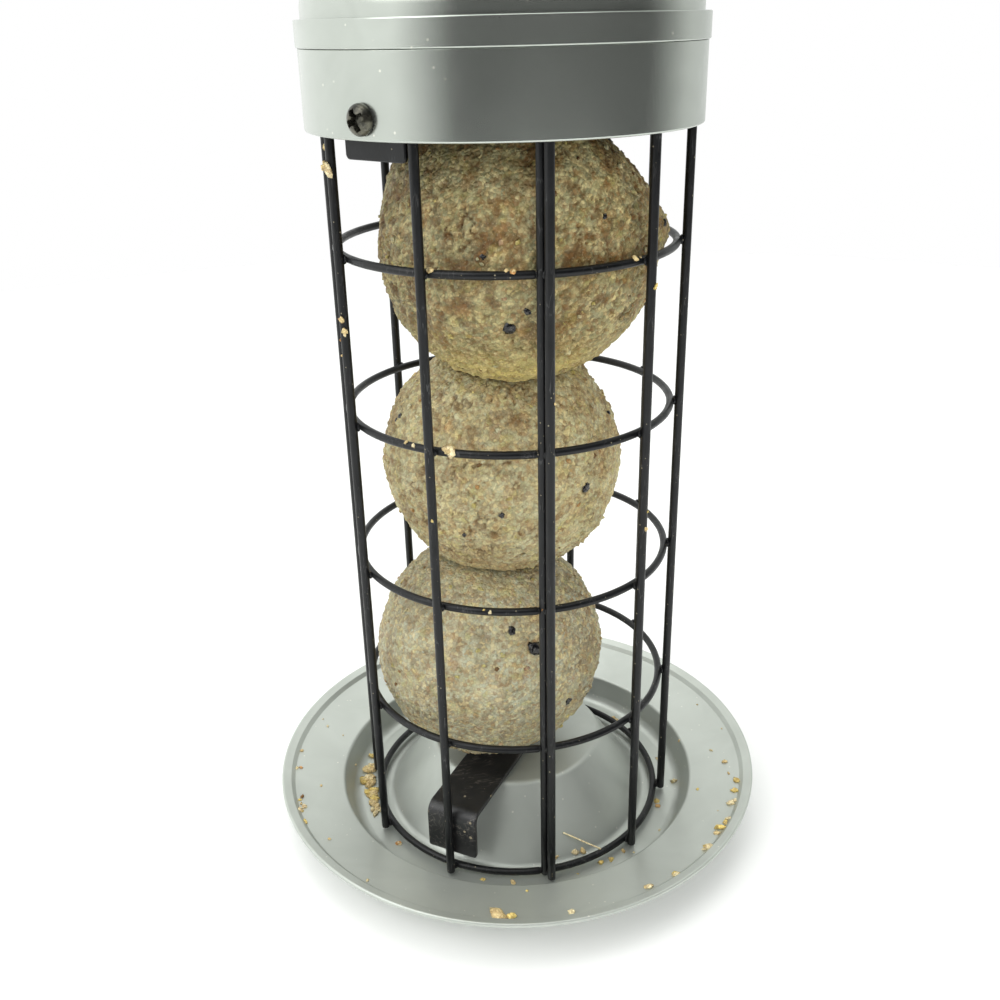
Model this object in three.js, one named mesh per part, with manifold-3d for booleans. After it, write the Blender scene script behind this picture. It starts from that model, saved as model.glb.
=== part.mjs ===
// A hanging fat-ball feeder: a welded wire cage on a moulded saucer tray, closed by a moulded
// collar and a domed lid that slides up the wire bail when the feeder is filled.
// Millimetres, +Z up. The origin is on the ground, on the axis; the cage's seam faces -Y.
// An azimuth is counted from -Y towards +X.

import * as THREE from 'three';
import { mergeVertices } from 'three/addons/utils/BufferGeometryUtils.js';
import Module from 'manifold-3d';

// Clearances
const WELD_GAP = 0.2; // between pieces that are welded together
const FIT_GAP = 0.3; // between pieces that rest on each other
const HOLE_GAP = 0.25; // round a wire or a shank in its hole
const SLIDE_GAP = 0.7; // round the bail's legs in the lid

// Wire cage
const CAGE_RADIUS = 44.6; // centreline of the rings
const RING_WIRE = 2.1;
const RING_COUNT = 6;
const RING_PITCH = 43.8;
const UPRIGHT_WIRE = 2.4;
const UPRIGHT_COUNT = 10;
const FOOT_OVERHANG = 0.3; // uprights below the lower edge of the first ring
const TOP_OVERHANG = 0.9; // uprights above the upper edge of the last ring
const FOOT_LIFT = 0.8; // the cage hangs on its strap, this far above the trough's floor
const SEAM_STEP = 1.3; // sideways step between the two wires of the seam

// Tray
const TRAY_WALL = 2.2;
const TRAY_FLARE = 27.2; // rim beyond the uprights
const TRAY_DEPTH = 13.2; // rim above the trough's floor
const LIP_WIDTH = 2.85; // top of the lip round the rim
const LIP_RISE = 0.8; // of the lip's top, from its inside to its outside
const LIP_FACE = 1.1; // width taken by the lip's slanting inner face
const LIP_HEIGHT = 2.1; // from the end of the brim to the rim
const LIP_EDGE = 1.2; // thickness at the rim
const LIP_ROUND = 0.5;
const TROUGH_WIDTH = 4.75; // floor outside the uprights
const TROUGH_DEPTH = 8; // below the inner edge of the brim
const TROUGH_DRAFT = 3; // radius gained by the trough's outer wall
const TROUGH_ROUND = 3.5; // between the trough's floor and its outer wall
const BRIM_ROUND = 1.2; // between the trough's outer wall and the brim
const BOSS_HEIGHT = 20.4; // above the trough's floor
const BOSS_MARGIN = 3.6; // from the strap's legs to the foot of the boss
const BOSS_TAPER = 14; // radius lost from the foot to the top
const EDGE_ROUND = 2.4; // rounding of the boss

// Floor strap and the screw that holds the tray to it
const STRAP_WIDTH = 15.5;
const STRAP_THICKNESS = 1.5;
const STRAP_BEND = 2; // inside of the bends
const STRAP_LIFT = 4; // from the bottom ring up to the ends of the legs
const STRAP_CORNER = 0.8;
const TRAY_SCREW_SHANK = 4;
const TRAY_SCREW_HEAD = 8;
const TRAY_SCREW_HEAD_HEIGHT = 2.8;
const TRAY_WASHER = 12;
const TRAY_WASHER_THICKNESS = 1;

// Collar, its tabs and screws
const COLLAR_WALL = 1.5;
const COLLAR_ROUND = 0.5;
const COLLAR_SKIRT = 4.6; // below the axes of the collar's screws
const COLLAR_FLANGE = 1.6; // thickness of the flange over the uprights' ends
const FLANGE_COVER = 0.5; // flange inside the uprights
const NECK_STEP = 2; // from the collar's face in to the neck
const NECK_WALL = 1.5;
const NECK_HEIGHT = 5.5;
const TAB_WIDTH = 18.6;
const TAB_THICKNESS = 1.2;
const TAB_TAIL = 9.1; // below the screws' axes
const TAB_CORNER = 1.2;
const SCREW_SPACING = 7.6; // from the bail's hooks down to the screws
const SCREW_SHANK = 3.5;
const SCREW_HEAD = 7;
const SCREW_HEAD_HEIGHT = 2.6;
const SCREW_TIP = 2; // past the inside of the tab
const RECESS_LENGTH = 4;
const RECESS_WIDTH = 0.9;
const RECESS_DEPTH = 1.3;

// Lid
const LID_WALL = 1.8;
const LID_BAND = 2.1; // wall of the band that goes over the neck
const LID_STEP = 1.7; // from the band's face in to the drum
const LID_SHOULDER = 0.5; // from the ledge on the neck up to the band's top
const LID_DRUM = 2.3; // straight stretch between the band and the dome
const DOME_RISE = 19;
const LID_GAP = 0.35; // round the neck
const LID_ROUND = 0.7;

// Bail
const BAIL_WIRE = 2.5;
const LID_TRAVEL = 80; // the lid's way up the bail's legs
const BAIL_SPARE = 4; // straight wire left above the raised lid

// Fat balls, from the bottom up: how far each leans to the cage's side, and towards which azimuth
const BOTTOM_BALL = 67.8;
const MIDDLE_BALL = 68;
const TOP_BALL = 74.5;
const BALL_PRESS = 4; // flattening where two balls meet
const BALLS = [
  { name: 'fat_ball_bottom', diameter: BOTTOM_BALL, lean: 0.9, azimuth: -75 },
  { name: 'fat_ball_middle', diameter: MIDDLE_BALL, lean: 0.28, azimuth: -123 },
  { name: 'fat_ball_top', diameter: TOP_BALL, lean: 1, azimuth: 16 },
];

// Facets
const TURN_STEPS = 40;
const RING_STEPS = 40;
const RING_SIDES = 6;
const WIRE_SIDES = 8;
const BEND_STEPS = 4;
const ARCH_STEPS = 18;
const DOME_STEPS = 8;
const FILLET_STEPS = 3;
const CROWN_STEPS = 5; // a screw's head
const HOLE_SIDES = 16;
const BALL_TURNS = 22;
const BALL_ROWS = 15;
const MERGE_DISTANCE = 1e-4; // corners this close are one corner
const CUT_OVERRUN = 1; // a cutting tool runs this far past what it cuts

// Places worked out from the sizes
const rad = THREE.MathUtils.degToRad;
const ringInner = CAGE_RADIUS - RING_WIRE / 2;
const ringOuter = CAGE_RADIUS + RING_WIRE / 2;
const uprightRadius = ringOuter + WELD_GAP + UPRIGHT_WIRE / 2;
const uprightInner = uprightRadius - UPRIGHT_WIRE / 2;
const cageOuter = uprightRadius + UPRIGHT_WIRE / 2;
const uprightAngle = 360 / UPRIGHT_COUNT;

const trayFloor = TRAY_WALL;
const uprightFoot = trayFloor + FOOT_LIFT;
const bottomRingZ = uprightFoot + FOOT_OVERHANG + RING_WIRE / 2;
const topRingZ = bottomRingZ + (RING_COUNT - 1) * RING_PITCH;
const uprightTop = topRingZ + RING_WIRE / 2 + TOP_OVERHANG;

const bossTop = trayFloor + BOSS_HEIGHT;
const strapBottom = bossTop + FIT_GAP;
const strapTop = strapBottom + STRAP_THICKNESS;
const strapReach = uprightInner - WELD_GAP;
const strapEnd = bottomRingZ + RING_WIRE / 2 + STRAP_LIFT;
const bossFoot = strapReach - STRAP_THICKNESS - BOSS_MARGIN;
const troughOuter = cageOuter + TROUGH_WIDTH;
const trayRadius = cageOuter + TRAY_FLARE;

const bailBend = (RING_WIRE + BAIL_WIRE) / 2 + FIT_GAP;
const bailRadius = CAGE_RADIUS - bailBend;
const hookZ = topRingZ - bailBend;
const screwZ = hookZ - SCREW_SPACING;
const tabInner = ringOuter + WELD_GAP;
const tabOuter = tabInner + TAB_THICKNESS;
const tabReach = TAB_WIDTH / 2 + WELD_GAP + UPRIGHT_WIRE / 2;
const tabAzimuth = -uprightAngle - THREE.MathUtils.radToDeg(Math.asin(tabReach / uprightRadius));
const tabPlaces = { left: tabAzimuth, right: tabAzimuth + 180 };

const collarBore = cageOuter + FIT_GAP;
const collarOuter = collarBore + COLLAR_WALL;
const collarBottom = screwZ - COLLAR_SKIRT;
const flangeBottom = uprightTop + FIT_GAP;
const collarTop = flangeBottom + COLLAR_FLANGE;
const neckOuter = collarOuter - NECK_STEP;
const neckTop = collarTop + NECK_HEIGHT;

const bandInner = neckOuter + LID_GAP;
const bandOuter = bandInner + LID_BAND;
const bandBottom = collarTop + FIT_GAP;
const ledgeZ = neckTop + FIT_GAP;
const bandTop = ledgeZ + LID_SHOULDER;
const drumOuter = bandOuter - LID_STEP;
const drumInner = drumOuter - LID_WALL;
const drumTop = bandTop + LID_DRUM;

const lidHoleZ = drumTop + DOME_RISE * Math.sqrt(1 - (bailRadius / drumOuter) ** 2);
const bailShoulder = lidHoleZ + LID_TRAVEL + BAIL_SPARE;

// Materials
function finish(color, roughness, metalness) {
  return new THREE.MeshStandardMaterial({ color, roughness, metalness });
}

const pewterPlastic = finish(0x8b8f8f, 0.42, 0.25);
const blackCoat = finish(0x1b1b1d, 0.5, 0.1);
const darkSteel = finish(0x45464a, 0.35, 0.9);
const fatAndSeed = finish(0xb59a68, 0.95, 0);

// Solids and cuts
const wasm = await Module();
wasm.setup();

// Shared corners merged, and triangles that fall together at a pole dropped.
function welded(geometry) {
  const bare = geometry.clone();
  bare.deleteAttribute('normal');
  bare.deleteAttribute('uv');
  const merged = mergeVertices(bare, MERGE_DISTANCE);
  const corners = merged.index.array;
  const kept = [];
  for (let i = 0; i < corners.length; i += 3) {
    const [a, b, c] = corners.slice(i, i + 3);
    if (a !== b && b !== c && c !== a) kept.push(a, b, c);
  }
  merged.setIndex(kept);
  return merged;
}

function toSolid(geometry) {
  const closed = welded(geometry);
  const vertProperties = new Float32Array(closed.attributes.position.array);
  const triVerts = new Uint32Array(closed.index.array);
  return new wasm.Manifold(new wasm.Mesh({ numProp: 3, vertProperties, triVerts }));
}

function toGeometry(solid) {
  const mesh = solid.getMesh();
  const geometry = new THREE.BufferGeometry();
  geometry.setAttribute('position', new THREE.BufferAttribute(mesh.vertProperties, 3));
  geometry.setIndex(new THREE.BufferAttribute(mesh.triVerts, 1));
  return geometry;
}

function cut(geometry, tools) {
  const rest = tools.reduce((solid, tool) => solid.subtract(toSolid(tool)), toSolid(geometry));
  return toGeometry(rest);
}

// Shapes
// A closed profile of [radius, height] points, counter-clockwise, turned about +Z.
function turned(profile, steps = TURN_STEPS) {
  const points = profile.map(([radius, height]) => new THREE.Vector2(radius, height));
  const onAxis = profile[0][0] === 0 && profile.at(-1)[0] === 0;
  if (!onAxis) points.push(points[0].clone());
  return new THREE.LatheGeometry(points, steps).rotateX(Math.PI / 2);
}

// An elliptic arc as [radius, height] points, from one angle to another, in degrees.
function arc(centre, radii, from, to, steps) {
  const points = [];
  for (let i = 0; i <= steps; i += 1) {
    const angle = rad(from + ((to - from) * i) / steps);
    points.push([centre[0] + radii[0] * Math.cos(angle), centre[1] + radii[1] * Math.sin(angle)]);
  }
  return points;
}

function fillet(centre, radius, from, to) {
  return arc(centre, [radius, radius], from, to, FILLET_STEPS);
}

// An outline whose corners are [radius, height, rounding]. A rounded corner becomes an arc that touches
// both its sides.
function softened(corners) {
  return corners.flatMap(([radius, height, rounding], i) => {
    if (!rounding) return [[radius, height]];
    const here = new THREE.Vector2(radius, height);
    const back = new THREE.Vector2(...corners.at(i - 1)).sub(here).normalize();
    const on = new THREE.Vector2(...corners[(i + 1) % corners.length]).sub(here).normalize();
    const half = Math.acos(back.dot(on)) / 2;
    const centre = back.clone().add(on).setLength(rounding / Math.sin(half)).add(here);
    const reach = rounding / Math.tan(half);
    const first = back.multiplyScalar(reach).add(here);
    const last = on.multiplyScalar(reach).add(here);
    const from = first.clone().sub(centre);
    const to = last.clone().sub(centre);
    const sweep = Math.atan2(from.cross(to), from.dot(to));
    return Array.from({ length: FILLET_STEPS + 1 }, (_, k) => {
      return first.clone().rotateAround(centre, (sweep * k) / FILLET_STEPS).toArray();
    });
  });
}

// An upright cylinder between two heights.
function rod(radius, bottom, top, sides) {
  const geometry = new THREE.CylinderGeometry(radius, radius, top - bottom, sides);
  return geometry.rotateX(Math.PI / 2).translate(0, 0, (top + bottom) / 2);
}

// A cylinder that points outwards along -Y, between two radii, at a height.
function spoke(radius, inner, outer, height, sides) {
  return rod(radius, inner, outer, sides).rotateX(Math.PI / 2).translate(0, 0, height);
}

// A path whose steps are its own points, so that long straights take one step.
class Stations extends THREE.Curve {
  constructor(points) {
    super();
    this.points = points;
  }

  getPoint(t, target = new THREE.Vector3()) {
    const place = t * (this.points.length - 1);
    const first = THREE.MathUtils.clamp(Math.floor(place), 0, this.points.length - 2);
    return target.lerpVectors(this.points[first], this.points[first + 1], place - first);
  }

  getUtoTmapping(u) {
    return u;
  }
}

function wire(points, diameter, sides) {
  const section = new THREE.Shape().absarc(0, 0, diameter / 2, 0, 2 * Math.PI, false);
  const extrudePath = new Stations(points);
  const steps = points.length - 1;
  return new THREE.ExtrudeGeometry(section, { steps, extrudePath, curveSegments: sides / 2 });
}

// A rectangle with round corners, centred across, from one height to another.
function roundedPlate(width, bottom, top, corner) {
  const half = width / 2;
  const shape = new THREE.Shape();
  shape.absarc(half - corner, bottom + corner, corner, -Math.PI / 2, 0);
  shape.absarc(half - corner, top - corner, corner, 0, Math.PI / 2);
  shape.absarc(corner - half, top - corner, corner, Math.PI / 2, Math.PI);
  shape.absarc(corner - half, bottom + corner, corner, Math.PI, 1.5 * Math.PI);
  return shape;
}

// A flat shape given a thickness towards +Z.
function extruded(shape, depth) {
  return new THREE.ExtrudeGeometry(shape, { depth, bevelEnabled: false, curveSegments: BEND_STEPS });
}

function roundHole(radius, height) {
  return new THREE.Path().absarc(0, height, radius, 0, 2 * Math.PI, true);
}

// The object
const feeder = new THREE.Group();

function place(name, geometry, material, azimuth = 0) {
  const mesh = new THREE.Mesh(welded(geometry), material);
  mesh.name = name;
  mesh.rotation.z = rad(azimuth);
  feeder.add(mesh);
}

// The corner of the tray's underside below a corner of its upper face, from the slopes on both sides of it.
function beneath([radius, height], before, after) {
  const middle = (before + after) / 2;
  const reach = TRAY_WALL / Math.cos((before - after) / 2);
  return [radius + reach * Math.sin(middle), height - reach * Math.cos(middle)];
}

// The tray: a raised boss, a trough that stands on the ground, and a gently sloping brim with a thin lip.
function trayGeometry() {
  const screwHole = TRAY_SCREW_SHANK / 2 + HOLE_GAP;
  const rimTop = trayFloor + TRAY_DEPTH;
  const bossEdge = [bossFoot - BOSS_TAPER, bossTop];
  const bossEnd = [bossFoot, trayFloor];
  const wallFoot = [troughOuter, trayFloor];
  const brimStart = [troughOuter + TROUGH_DRAFT, trayFloor + TROUGH_DEPTH];
  const lipInner = trayRadius - LIP_WIDTH;
  const brimEnd = [lipInner - LIP_FACE, rimTop - LIP_HEIGHT];
  const slope = ([r1, z1], [r2, z2]) => Math.atan2(z2 - z1, r2 - r1);
  const bossSlope = slope(bossEdge, bossEnd);
  const wallSlope = slope(wallFoot, brimStart);
  const brimSlope = slope(brimStart, brimEnd);
  return turned(softened([
    [screwHole, bossTop - TRAY_WALL],
    beneath(bossEdge, 0, bossSlope),
    beneath(bossEnd, bossSlope, 0),
    beneath(wallFoot, 0, wallSlope),
    beneath(brimStart, wallSlope, brimSlope),
    beneath(brimEnd, brimSlope, brimSlope),
    [trayRadius, rimTop - LIP_EDGE, LIP_ROUND],
    [trayRadius, rimTop, LIP_ROUND],
    [lipInner, rimTop - LIP_RISE],
    brimEnd,
    [...brimStart, BRIM_ROUND],
    [...wallFoot, TROUGH_ROUND],
    [...bossEnd, EDGE_ROUND],
    [...bossEdge, EDGE_ROUND],
    [screwHole, bossTop],
  ]));
}

place('tray', trayGeometry(), pewterPlastic);

// The strap across the cage's floor: a flat strip with both ends bent down inside two opposite uprights.
function strapGeometry() {
  const outerBend = STRAP_BEND + STRAP_THICKNESS;
  const bendCentre = strapReach - outerBend;
  const bendZ = strapTop - outerBend;
  const outline = new THREE.Shape();
  outline.moveTo(-strapReach, strapEnd);
  outline.lineTo(STRAP_THICKNESS - strapReach, strapEnd);
  outline.absarc(-bendCentre, bendZ, STRAP_BEND, Math.PI, Math.PI / 2, true);
  outline.absarc(bendCentre, bendZ, STRAP_BEND, Math.PI / 2, 0, true);
  outline.lineTo(strapReach - STRAP_THICKNESS, strapEnd);
  outline.lineTo(strapReach, strapEnd);
  outline.absarc(bendCentre, bendZ, outerBend, 0, Math.PI / 2);
  outline.absarc(-bendCentre, bendZ, outerBend, Math.PI / 2, Math.PI);
  const strip = extruded(outline, STRAP_WIDTH).translate(0, 0, -STRAP_WIDTH / 2);
  strip.rotateX(Math.PI / 2).rotateZ(Math.PI / 2);
  const holeRadius = TRAY_SCREW_SHANK / 2 + HOLE_GAP;
  const hole = rod(holeRadius, strapBottom - CUT_OVERRUN, strapTop + CUT_OVERRUN, HOLE_SIDES);
  const front = roundedPlate(STRAP_WIDTH, strapEnd, strapTop + STRAP_CORNER + CUT_OVERRUN, STRAP_CORNER);
  const ends = extruded(front, 2 * cageOuter).rotateX(Math.PI / 2).translate(0, cageOuter, 0);
  return toGeometry(toSolid(strip).subtract(toSolid(hole)).intersect(toSolid(ends)));
}

place('floor_strap', strapGeometry(), blackCoat, -uprightAngle);

// The tray's screw comes up through the boss into the strap, with a washer under its head.
function trayScrewGeometry() {
  const seat = bossTop - TRAY_WALL - FIT_GAP - TRAY_WASHER_THICKNESS - FIT_GAP;
  const headRadius = TRAY_SCREW_HEAD / 2;
  const shank = TRAY_SCREW_SHANK / 2;
  const crown = arc([0, seat], [headRadius, TRAY_SCREW_HEAD_HEIGHT], -90, 0, CROWN_STEPS).slice(1);
  const face = seat - TRAY_SCREW_HEAD_HEIGHT;
  const profile = [[0, face], ...crown, [shank, seat], [shank, strapTop], [0, strapTop]];
  return turned(profile, HOLE_SIDES);
}

place('tray_screw', trayScrewGeometry(), darkSteel);

function washerGeometry() {
  const top = bossTop - TRAY_WALL - FIT_GAP;
  const bottom = top - TRAY_WASHER_THICKNESS;
  const hole = TRAY_SCREW_SHANK / 2 + HOLE_GAP;
  const edge = TRAY_WASHER / 2;
  return turned([[hole, bottom], [edge, bottom], [edge, top], [hole, top]], HOLE_SIDES);
}

place('tray_washer', washerGeometry(), darkSteel);

// The cage: uprights outside the rings. The mesh is rolled up, so its last upright lies behind the
// first one at the seam, in line with the rings, and the rings' ends meet that wire.
const seamTurn = THREE.MathUtils.radToDeg(SEAM_STEP / 2 / CAGE_RADIUS);

function ringGeometry(height) {
  const gap = (UPRIGHT_WIRE / 2 + WELD_GAP) / CAGE_RADIUS;
  const start = rad(-seamTurn) + gap;
  const sweep = 2 * Math.PI - 2 * gap;
  const points = [];
  for (let i = 0; i <= RING_STEPS; i += 1) {
    const angle = start + (sweep * i) / RING_STEPS;
    points.push(new THREE.Vector3(CAGE_RADIUS * Math.sin(angle), -CAGE_RADIUS * Math.cos(angle), height));
  }
  return wire(points, RING_WIRE, RING_SIDES);
}

for (let i = 0; i < RING_COUNT; i += 1) {
  place(`cage_ring_${i + 1}`, ringGeometry(bottomRingZ + i * RING_PITCH), blackCoat);
}

function uprightGeometry(radius) {
  return rod(UPRIGHT_WIRE / 2, uprightFoot, uprightTop, WIRE_SIDES).translate(0, -radius, 0);
}

for (let i = 0; i < UPRIGHT_COUNT; i += 1) {
  const azimuth = i === 0 ? seamTurn : i * uprightAngle;
  place(`upright_${i + 1}`, uprightGeometry(uprightRadius), blackCoat, azimuth);
}
place('seam_upright', uprightGeometry(CAGE_RADIUS), blackCoat, -seamTurn);

// Two tabs, welded to the top ring beside opposite uprights, take the collar's screws and the bail's hooks.
function tabGeometry() {
  const plate = roundedPlate(TAB_WIDTH, screwZ - TAB_TAIL, uprightTop, TAB_CORNER);
  plate.holes.push(roundHole(SCREW_SHANK / 2 + HOLE_GAP, screwZ));
  plate.holes.push(roundHole(BAIL_WIRE / 2 + HOLE_GAP, hookZ));
  return extruded(plate, TAB_THICKNESS).rotateX(Math.PI / 2).translate(0, -tabInner, 0);
}

for (const [side, azimuth] of Object.entries(tabPlaces)) {
  place(`collar_tab_${side}`, tabGeometry(), blackCoat, azimuth);
}

// The collar slips over the cage's top: a flange caps the uprights, and a neck above it centres the lid.
function collarGeometry() {
  const neckInner = neckOuter - NECK_WALL;
  const flangeInner = uprightInner - FLANGE_COVER;
  const body = turned([
    [collarBore, collarBottom],
    ...fillet([collarOuter - COLLAR_ROUND, collarBottom + COLLAR_ROUND], COLLAR_ROUND, -90, 0),
    ...fillet([collarOuter - COLLAR_ROUND, collarTop - COLLAR_ROUND], COLLAR_ROUND, 0, 90),
    [neckOuter, collarTop],
    [neckOuter, neckTop],
    [neckInner, neckTop],
    [neckInner, collarTop],
    [flangeInner, collarTop],
    [flangeInner, flangeBottom],
    [collarBore, flangeBottom],
  ]);
  const holes = Object.values(tabPlaces).map((azimuth) => {
    const from = collarBore - CUT_OVERRUN;
    const to = collarOuter + CUT_OVERRUN;
    return spoke(SCREW_SHANK / 2 + HOLE_GAP, from, to, screwZ, HOLE_SIDES).rotateZ(rad(azimuth));
  });
  return cut(body, holes);
}

place('collar', collarGeometry(), pewterPlastic);

// A collar screw: a pan head with a cross recess outside the collar, its shank through collar and tab.
function collarScrewGeometry() {
  const seat = collarOuter + FIT_GAP;
  const face = seat + SCREW_HEAD_HEIGHT;
  const headRadius = SCREW_HEAD / 2;
  const shank = SCREW_SHANK / 2;
  const tip = tabInner - SCREW_TIP;
  const crown = arc([0, seat], [headRadius, SCREW_HEAD_HEIGHT], 0, 90, CROWN_STEPS).slice(0, -1);
  const profile = [[0, tip], [shank, tip], [shank, seat], ...crown, [0, face]];
  const body = turned(profile, HOLE_SIDES).rotateX(Math.PI / 2).translate(0, 0, screwZ);
  const slots = [[RECESS_LENGTH, RECESS_WIDTH], [RECESS_WIDTH, RECESS_LENGTH]].map(([width, height]) => {
    const slot = new THREE.BoxGeometry(width, 2 * RECESS_DEPTH, height);
    return slot.translate(0, -face, screwZ);
  });
  return cut(body, slots);
}

for (const [side, azimuth] of Object.entries(tabPlaces)) {
  place(`collar_screw_${side}`, collarScrewGeometry(), darkSteel, azimuth);
}

// The lid: a band over the collar's neck, a narrower drum and a dome, with two holes for the bail's legs.
function lidGeometry() {
  const inner = [drumInner, DOME_RISE - LID_WALL];
  const shell = turned([
    [0, drumTop + inner[1]],
    ...arc([0, drumTop], inner, 90, 0, DOME_STEPS).slice(1),
    [drumInner, ledgeZ],
    [bandInner, ledgeZ],
    [bandInner, bandBottom],
    ...fillet([bandOuter - LID_ROUND, bandBottom + LID_ROUND], LID_ROUND, -90, 0),
    ...fillet([bandOuter - LID_ROUND, bandTop - LID_ROUND], LID_ROUND, 0, 90),
    [drumOuter, bandTop],
    ...arc([0, drumTop], [drumOuter, DOME_RISE], 0, 90, DOME_STEPS).slice(0, -1),
    [0, drumTop + DOME_RISE],
  ]);
  const holes = Object.values(tabPlaces).map((azimuth) => {
    const bore = rod(BAIL_WIRE / 2 + SLIDE_GAP, neckTop, drumTop + DOME_RISE, HOLE_SIDES);
    return bore.translate(0, -bailRadius, 0).rotateZ(rad(azimuth));
  });
  return cut(shell, holes);
}

place('lid', lidGeometry(), pewterPlastic);

// The bail: each leg hooks round the top ring into its tab and rises inside the cage to a half circle.
function bailGeometry() {
  const bend = (y, z, radius, from, to, steps) =>
    arc([y, z], [radius, radius], from, to, steps).map(([v, w]) => new THREE.Vector3(0, v, w));
  const route = [
    new THREE.Vector3(0, -tabOuter, hookZ),
    ...bend(-CAGE_RADIUS, topRingZ, bailBend, -90, 0, BEND_STEPS),
    ...bend(0, bailShoulder, bailRadius, 180, 0, ARCH_STEPS),
    ...bend(CAGE_RADIUS, topRingZ, bailBend, 180, 270, BEND_STEPS),
    new THREE.Vector3(0, tabOuter, hookZ),
  ];
  return wire(route, BAIL_WIRE, WIRE_SIDES);
}

place('bail', bailGeometry(), blackCoat, tabAzimuth);

// The fat balls: each leans on the cage as far as its play allows and is pressed flat by its neighbours.
function ballCentres() {
  const centres = [];
  BALLS.forEach((ball, i) => {
    const radius = ball.diameter / 2;
    const offset = ball.lean * (ringInner - FIT_GAP - radius);
    const centre = new THREE.Vector3(0, -offset, strapTop + FIT_GAP + radius);
    centre.applyAxisAngle(new THREE.Vector3(0, 0, 1), rad(ball.azimuth));
    if (i > 0) {
      const below = centres[i - 1];
      const distance = radius + BALLS[i - 1].diameter / 2 - 2 * BALL_PRESS;
      const aside = Math.hypot(centre.x - below.x, centre.y - below.y);
      centre.z = below.z + Math.sqrt(distance ** 2 - aside ** 2);
    }
    centres.push(centre);
  });
  return centres;
}

function ballGeometry(radius, centre, neighbours) {
  const geometry = new THREE.SphereGeometry(radius, BALL_TURNS, BALL_ROWS).rotateX(Math.PI / 2);
  const flat = radius - BALL_PRESS - FIT_GAP / 2;
  const axes = neighbours.map((other) => other.clone().sub(centre).normalize());
  const position = geometry.attributes.position;
  const point = new THREE.Vector3();
  for (let i = 0; i < position.count; i += 1) {
    point.fromBufferAttribute(position, i);
    for (const axis of axes) {
      const height = point.dot(axis);
      if (height > flat) point.multiplyScalar(flat / height);
    }
    position.setXYZ(i, point.x, point.y, point.z);
  }
  return geometry.translate(centre.x, centre.y, centre.z);
}

const centres = ballCentres();
BALLS.forEach((ball, i) => {
  const neighbours = [centres[i - 1], centres[i + 1]].filter(Boolean);
  place(ball.name, ballGeometry(ball.diameter / 2, centres[i], neighbours), fatAndSeed);
});

export default feeder;
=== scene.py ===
import math

import bpy
import numpy as np
from mathutils import Matrix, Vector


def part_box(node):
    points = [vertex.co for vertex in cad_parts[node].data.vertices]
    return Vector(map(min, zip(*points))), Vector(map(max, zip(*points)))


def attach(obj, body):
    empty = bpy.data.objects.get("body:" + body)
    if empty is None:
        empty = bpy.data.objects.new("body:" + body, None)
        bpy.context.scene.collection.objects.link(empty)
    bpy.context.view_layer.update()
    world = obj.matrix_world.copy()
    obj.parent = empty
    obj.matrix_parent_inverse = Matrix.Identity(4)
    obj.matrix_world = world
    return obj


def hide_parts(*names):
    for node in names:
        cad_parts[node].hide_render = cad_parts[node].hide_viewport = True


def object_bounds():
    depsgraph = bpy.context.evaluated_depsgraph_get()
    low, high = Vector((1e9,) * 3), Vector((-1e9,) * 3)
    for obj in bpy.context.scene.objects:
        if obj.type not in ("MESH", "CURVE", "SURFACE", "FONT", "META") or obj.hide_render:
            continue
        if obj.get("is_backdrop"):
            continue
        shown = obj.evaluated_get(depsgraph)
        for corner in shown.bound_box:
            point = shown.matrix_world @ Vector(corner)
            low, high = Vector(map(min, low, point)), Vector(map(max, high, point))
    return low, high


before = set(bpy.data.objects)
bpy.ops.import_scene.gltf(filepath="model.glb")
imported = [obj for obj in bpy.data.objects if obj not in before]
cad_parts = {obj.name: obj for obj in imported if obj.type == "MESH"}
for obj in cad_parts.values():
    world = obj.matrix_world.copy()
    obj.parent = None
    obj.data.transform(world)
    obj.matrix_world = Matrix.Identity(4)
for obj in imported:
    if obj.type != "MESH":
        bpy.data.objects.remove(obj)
cad_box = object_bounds()

MM = 0.001  # all sizes below are millimetres and degrees
UP = np.array([0.0, 0.0, 1.0])

# Camera
CAMERA_PLACE = (-54.2, -281.1, 232.2)
CAMERA_HEADING = 10.24  # from +Y towards +X
CAMERA_DIP = 24.13  # below the horizon
CAMERA_ROLL = -1.375
CAMERA_LENS = 38.5
CAMERA_SENSOR = 36

# Cage
CAGE_RADIUS = 44.6
RING_WIRE = 2.1
RING_COUNT = 6
UPRIGHT_WIRE = 2.4
UPRIGHT_COUNT = 10
WELD_GAP = 0.2
SEAM_STEP = 1.3
CUT_ROUND = 0.4  # share of a wire's radius that its cut ends are rounded by
CROSS_BEAD = (1.5, 1.3, 0.62)
SEAM_BEAD = (0.5, 0.95, 0.95)

# Tray
TRAY_WALL = 2.2
TRAY_RADIUS = 75.45
RIM_TOP = 15.4
LIP_INNER = 72.6
LIP_RISE = 0.8
LIP_EDGE = 1.2
BRIM_START = (56, 10.2)
BRIM_END = (71.5, 13.3)
TROUGH_OUTER = 53
TROUGH_ROUND = 3.5
BOSS_FOOT = 40.55
BOSS_TAPER = 14
BOSS_TOP = 22.6
BOSS_ROUND = 2.4
TRAY_HOLE = 2.25

# Floor strap, tray screw and washer
STRAP_AZIMUTH = -36
STRAP_WIDTH = 15.5
STRAP_THICKNESS = 1.5
STRAP_BEND = 2
STRAP_REACH = 45.65
STRAP_TOP = 24.4
STRAP_END = 9.4
STRAP_CORNER = 0.8
STRAP_EDGE = 0.3
TRAY_SCREW_SEAT = 18.8
TRAY_SCREW_HEAD = 8
TRAY_SCREW_HEAD_HEIGHT = 2.8
TRAY_SCREW_SHANK = 4
WASHER_BOTTOM = 19.1
WASHER_TOP = 20.1
WASHER_EDGE = 6

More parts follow.
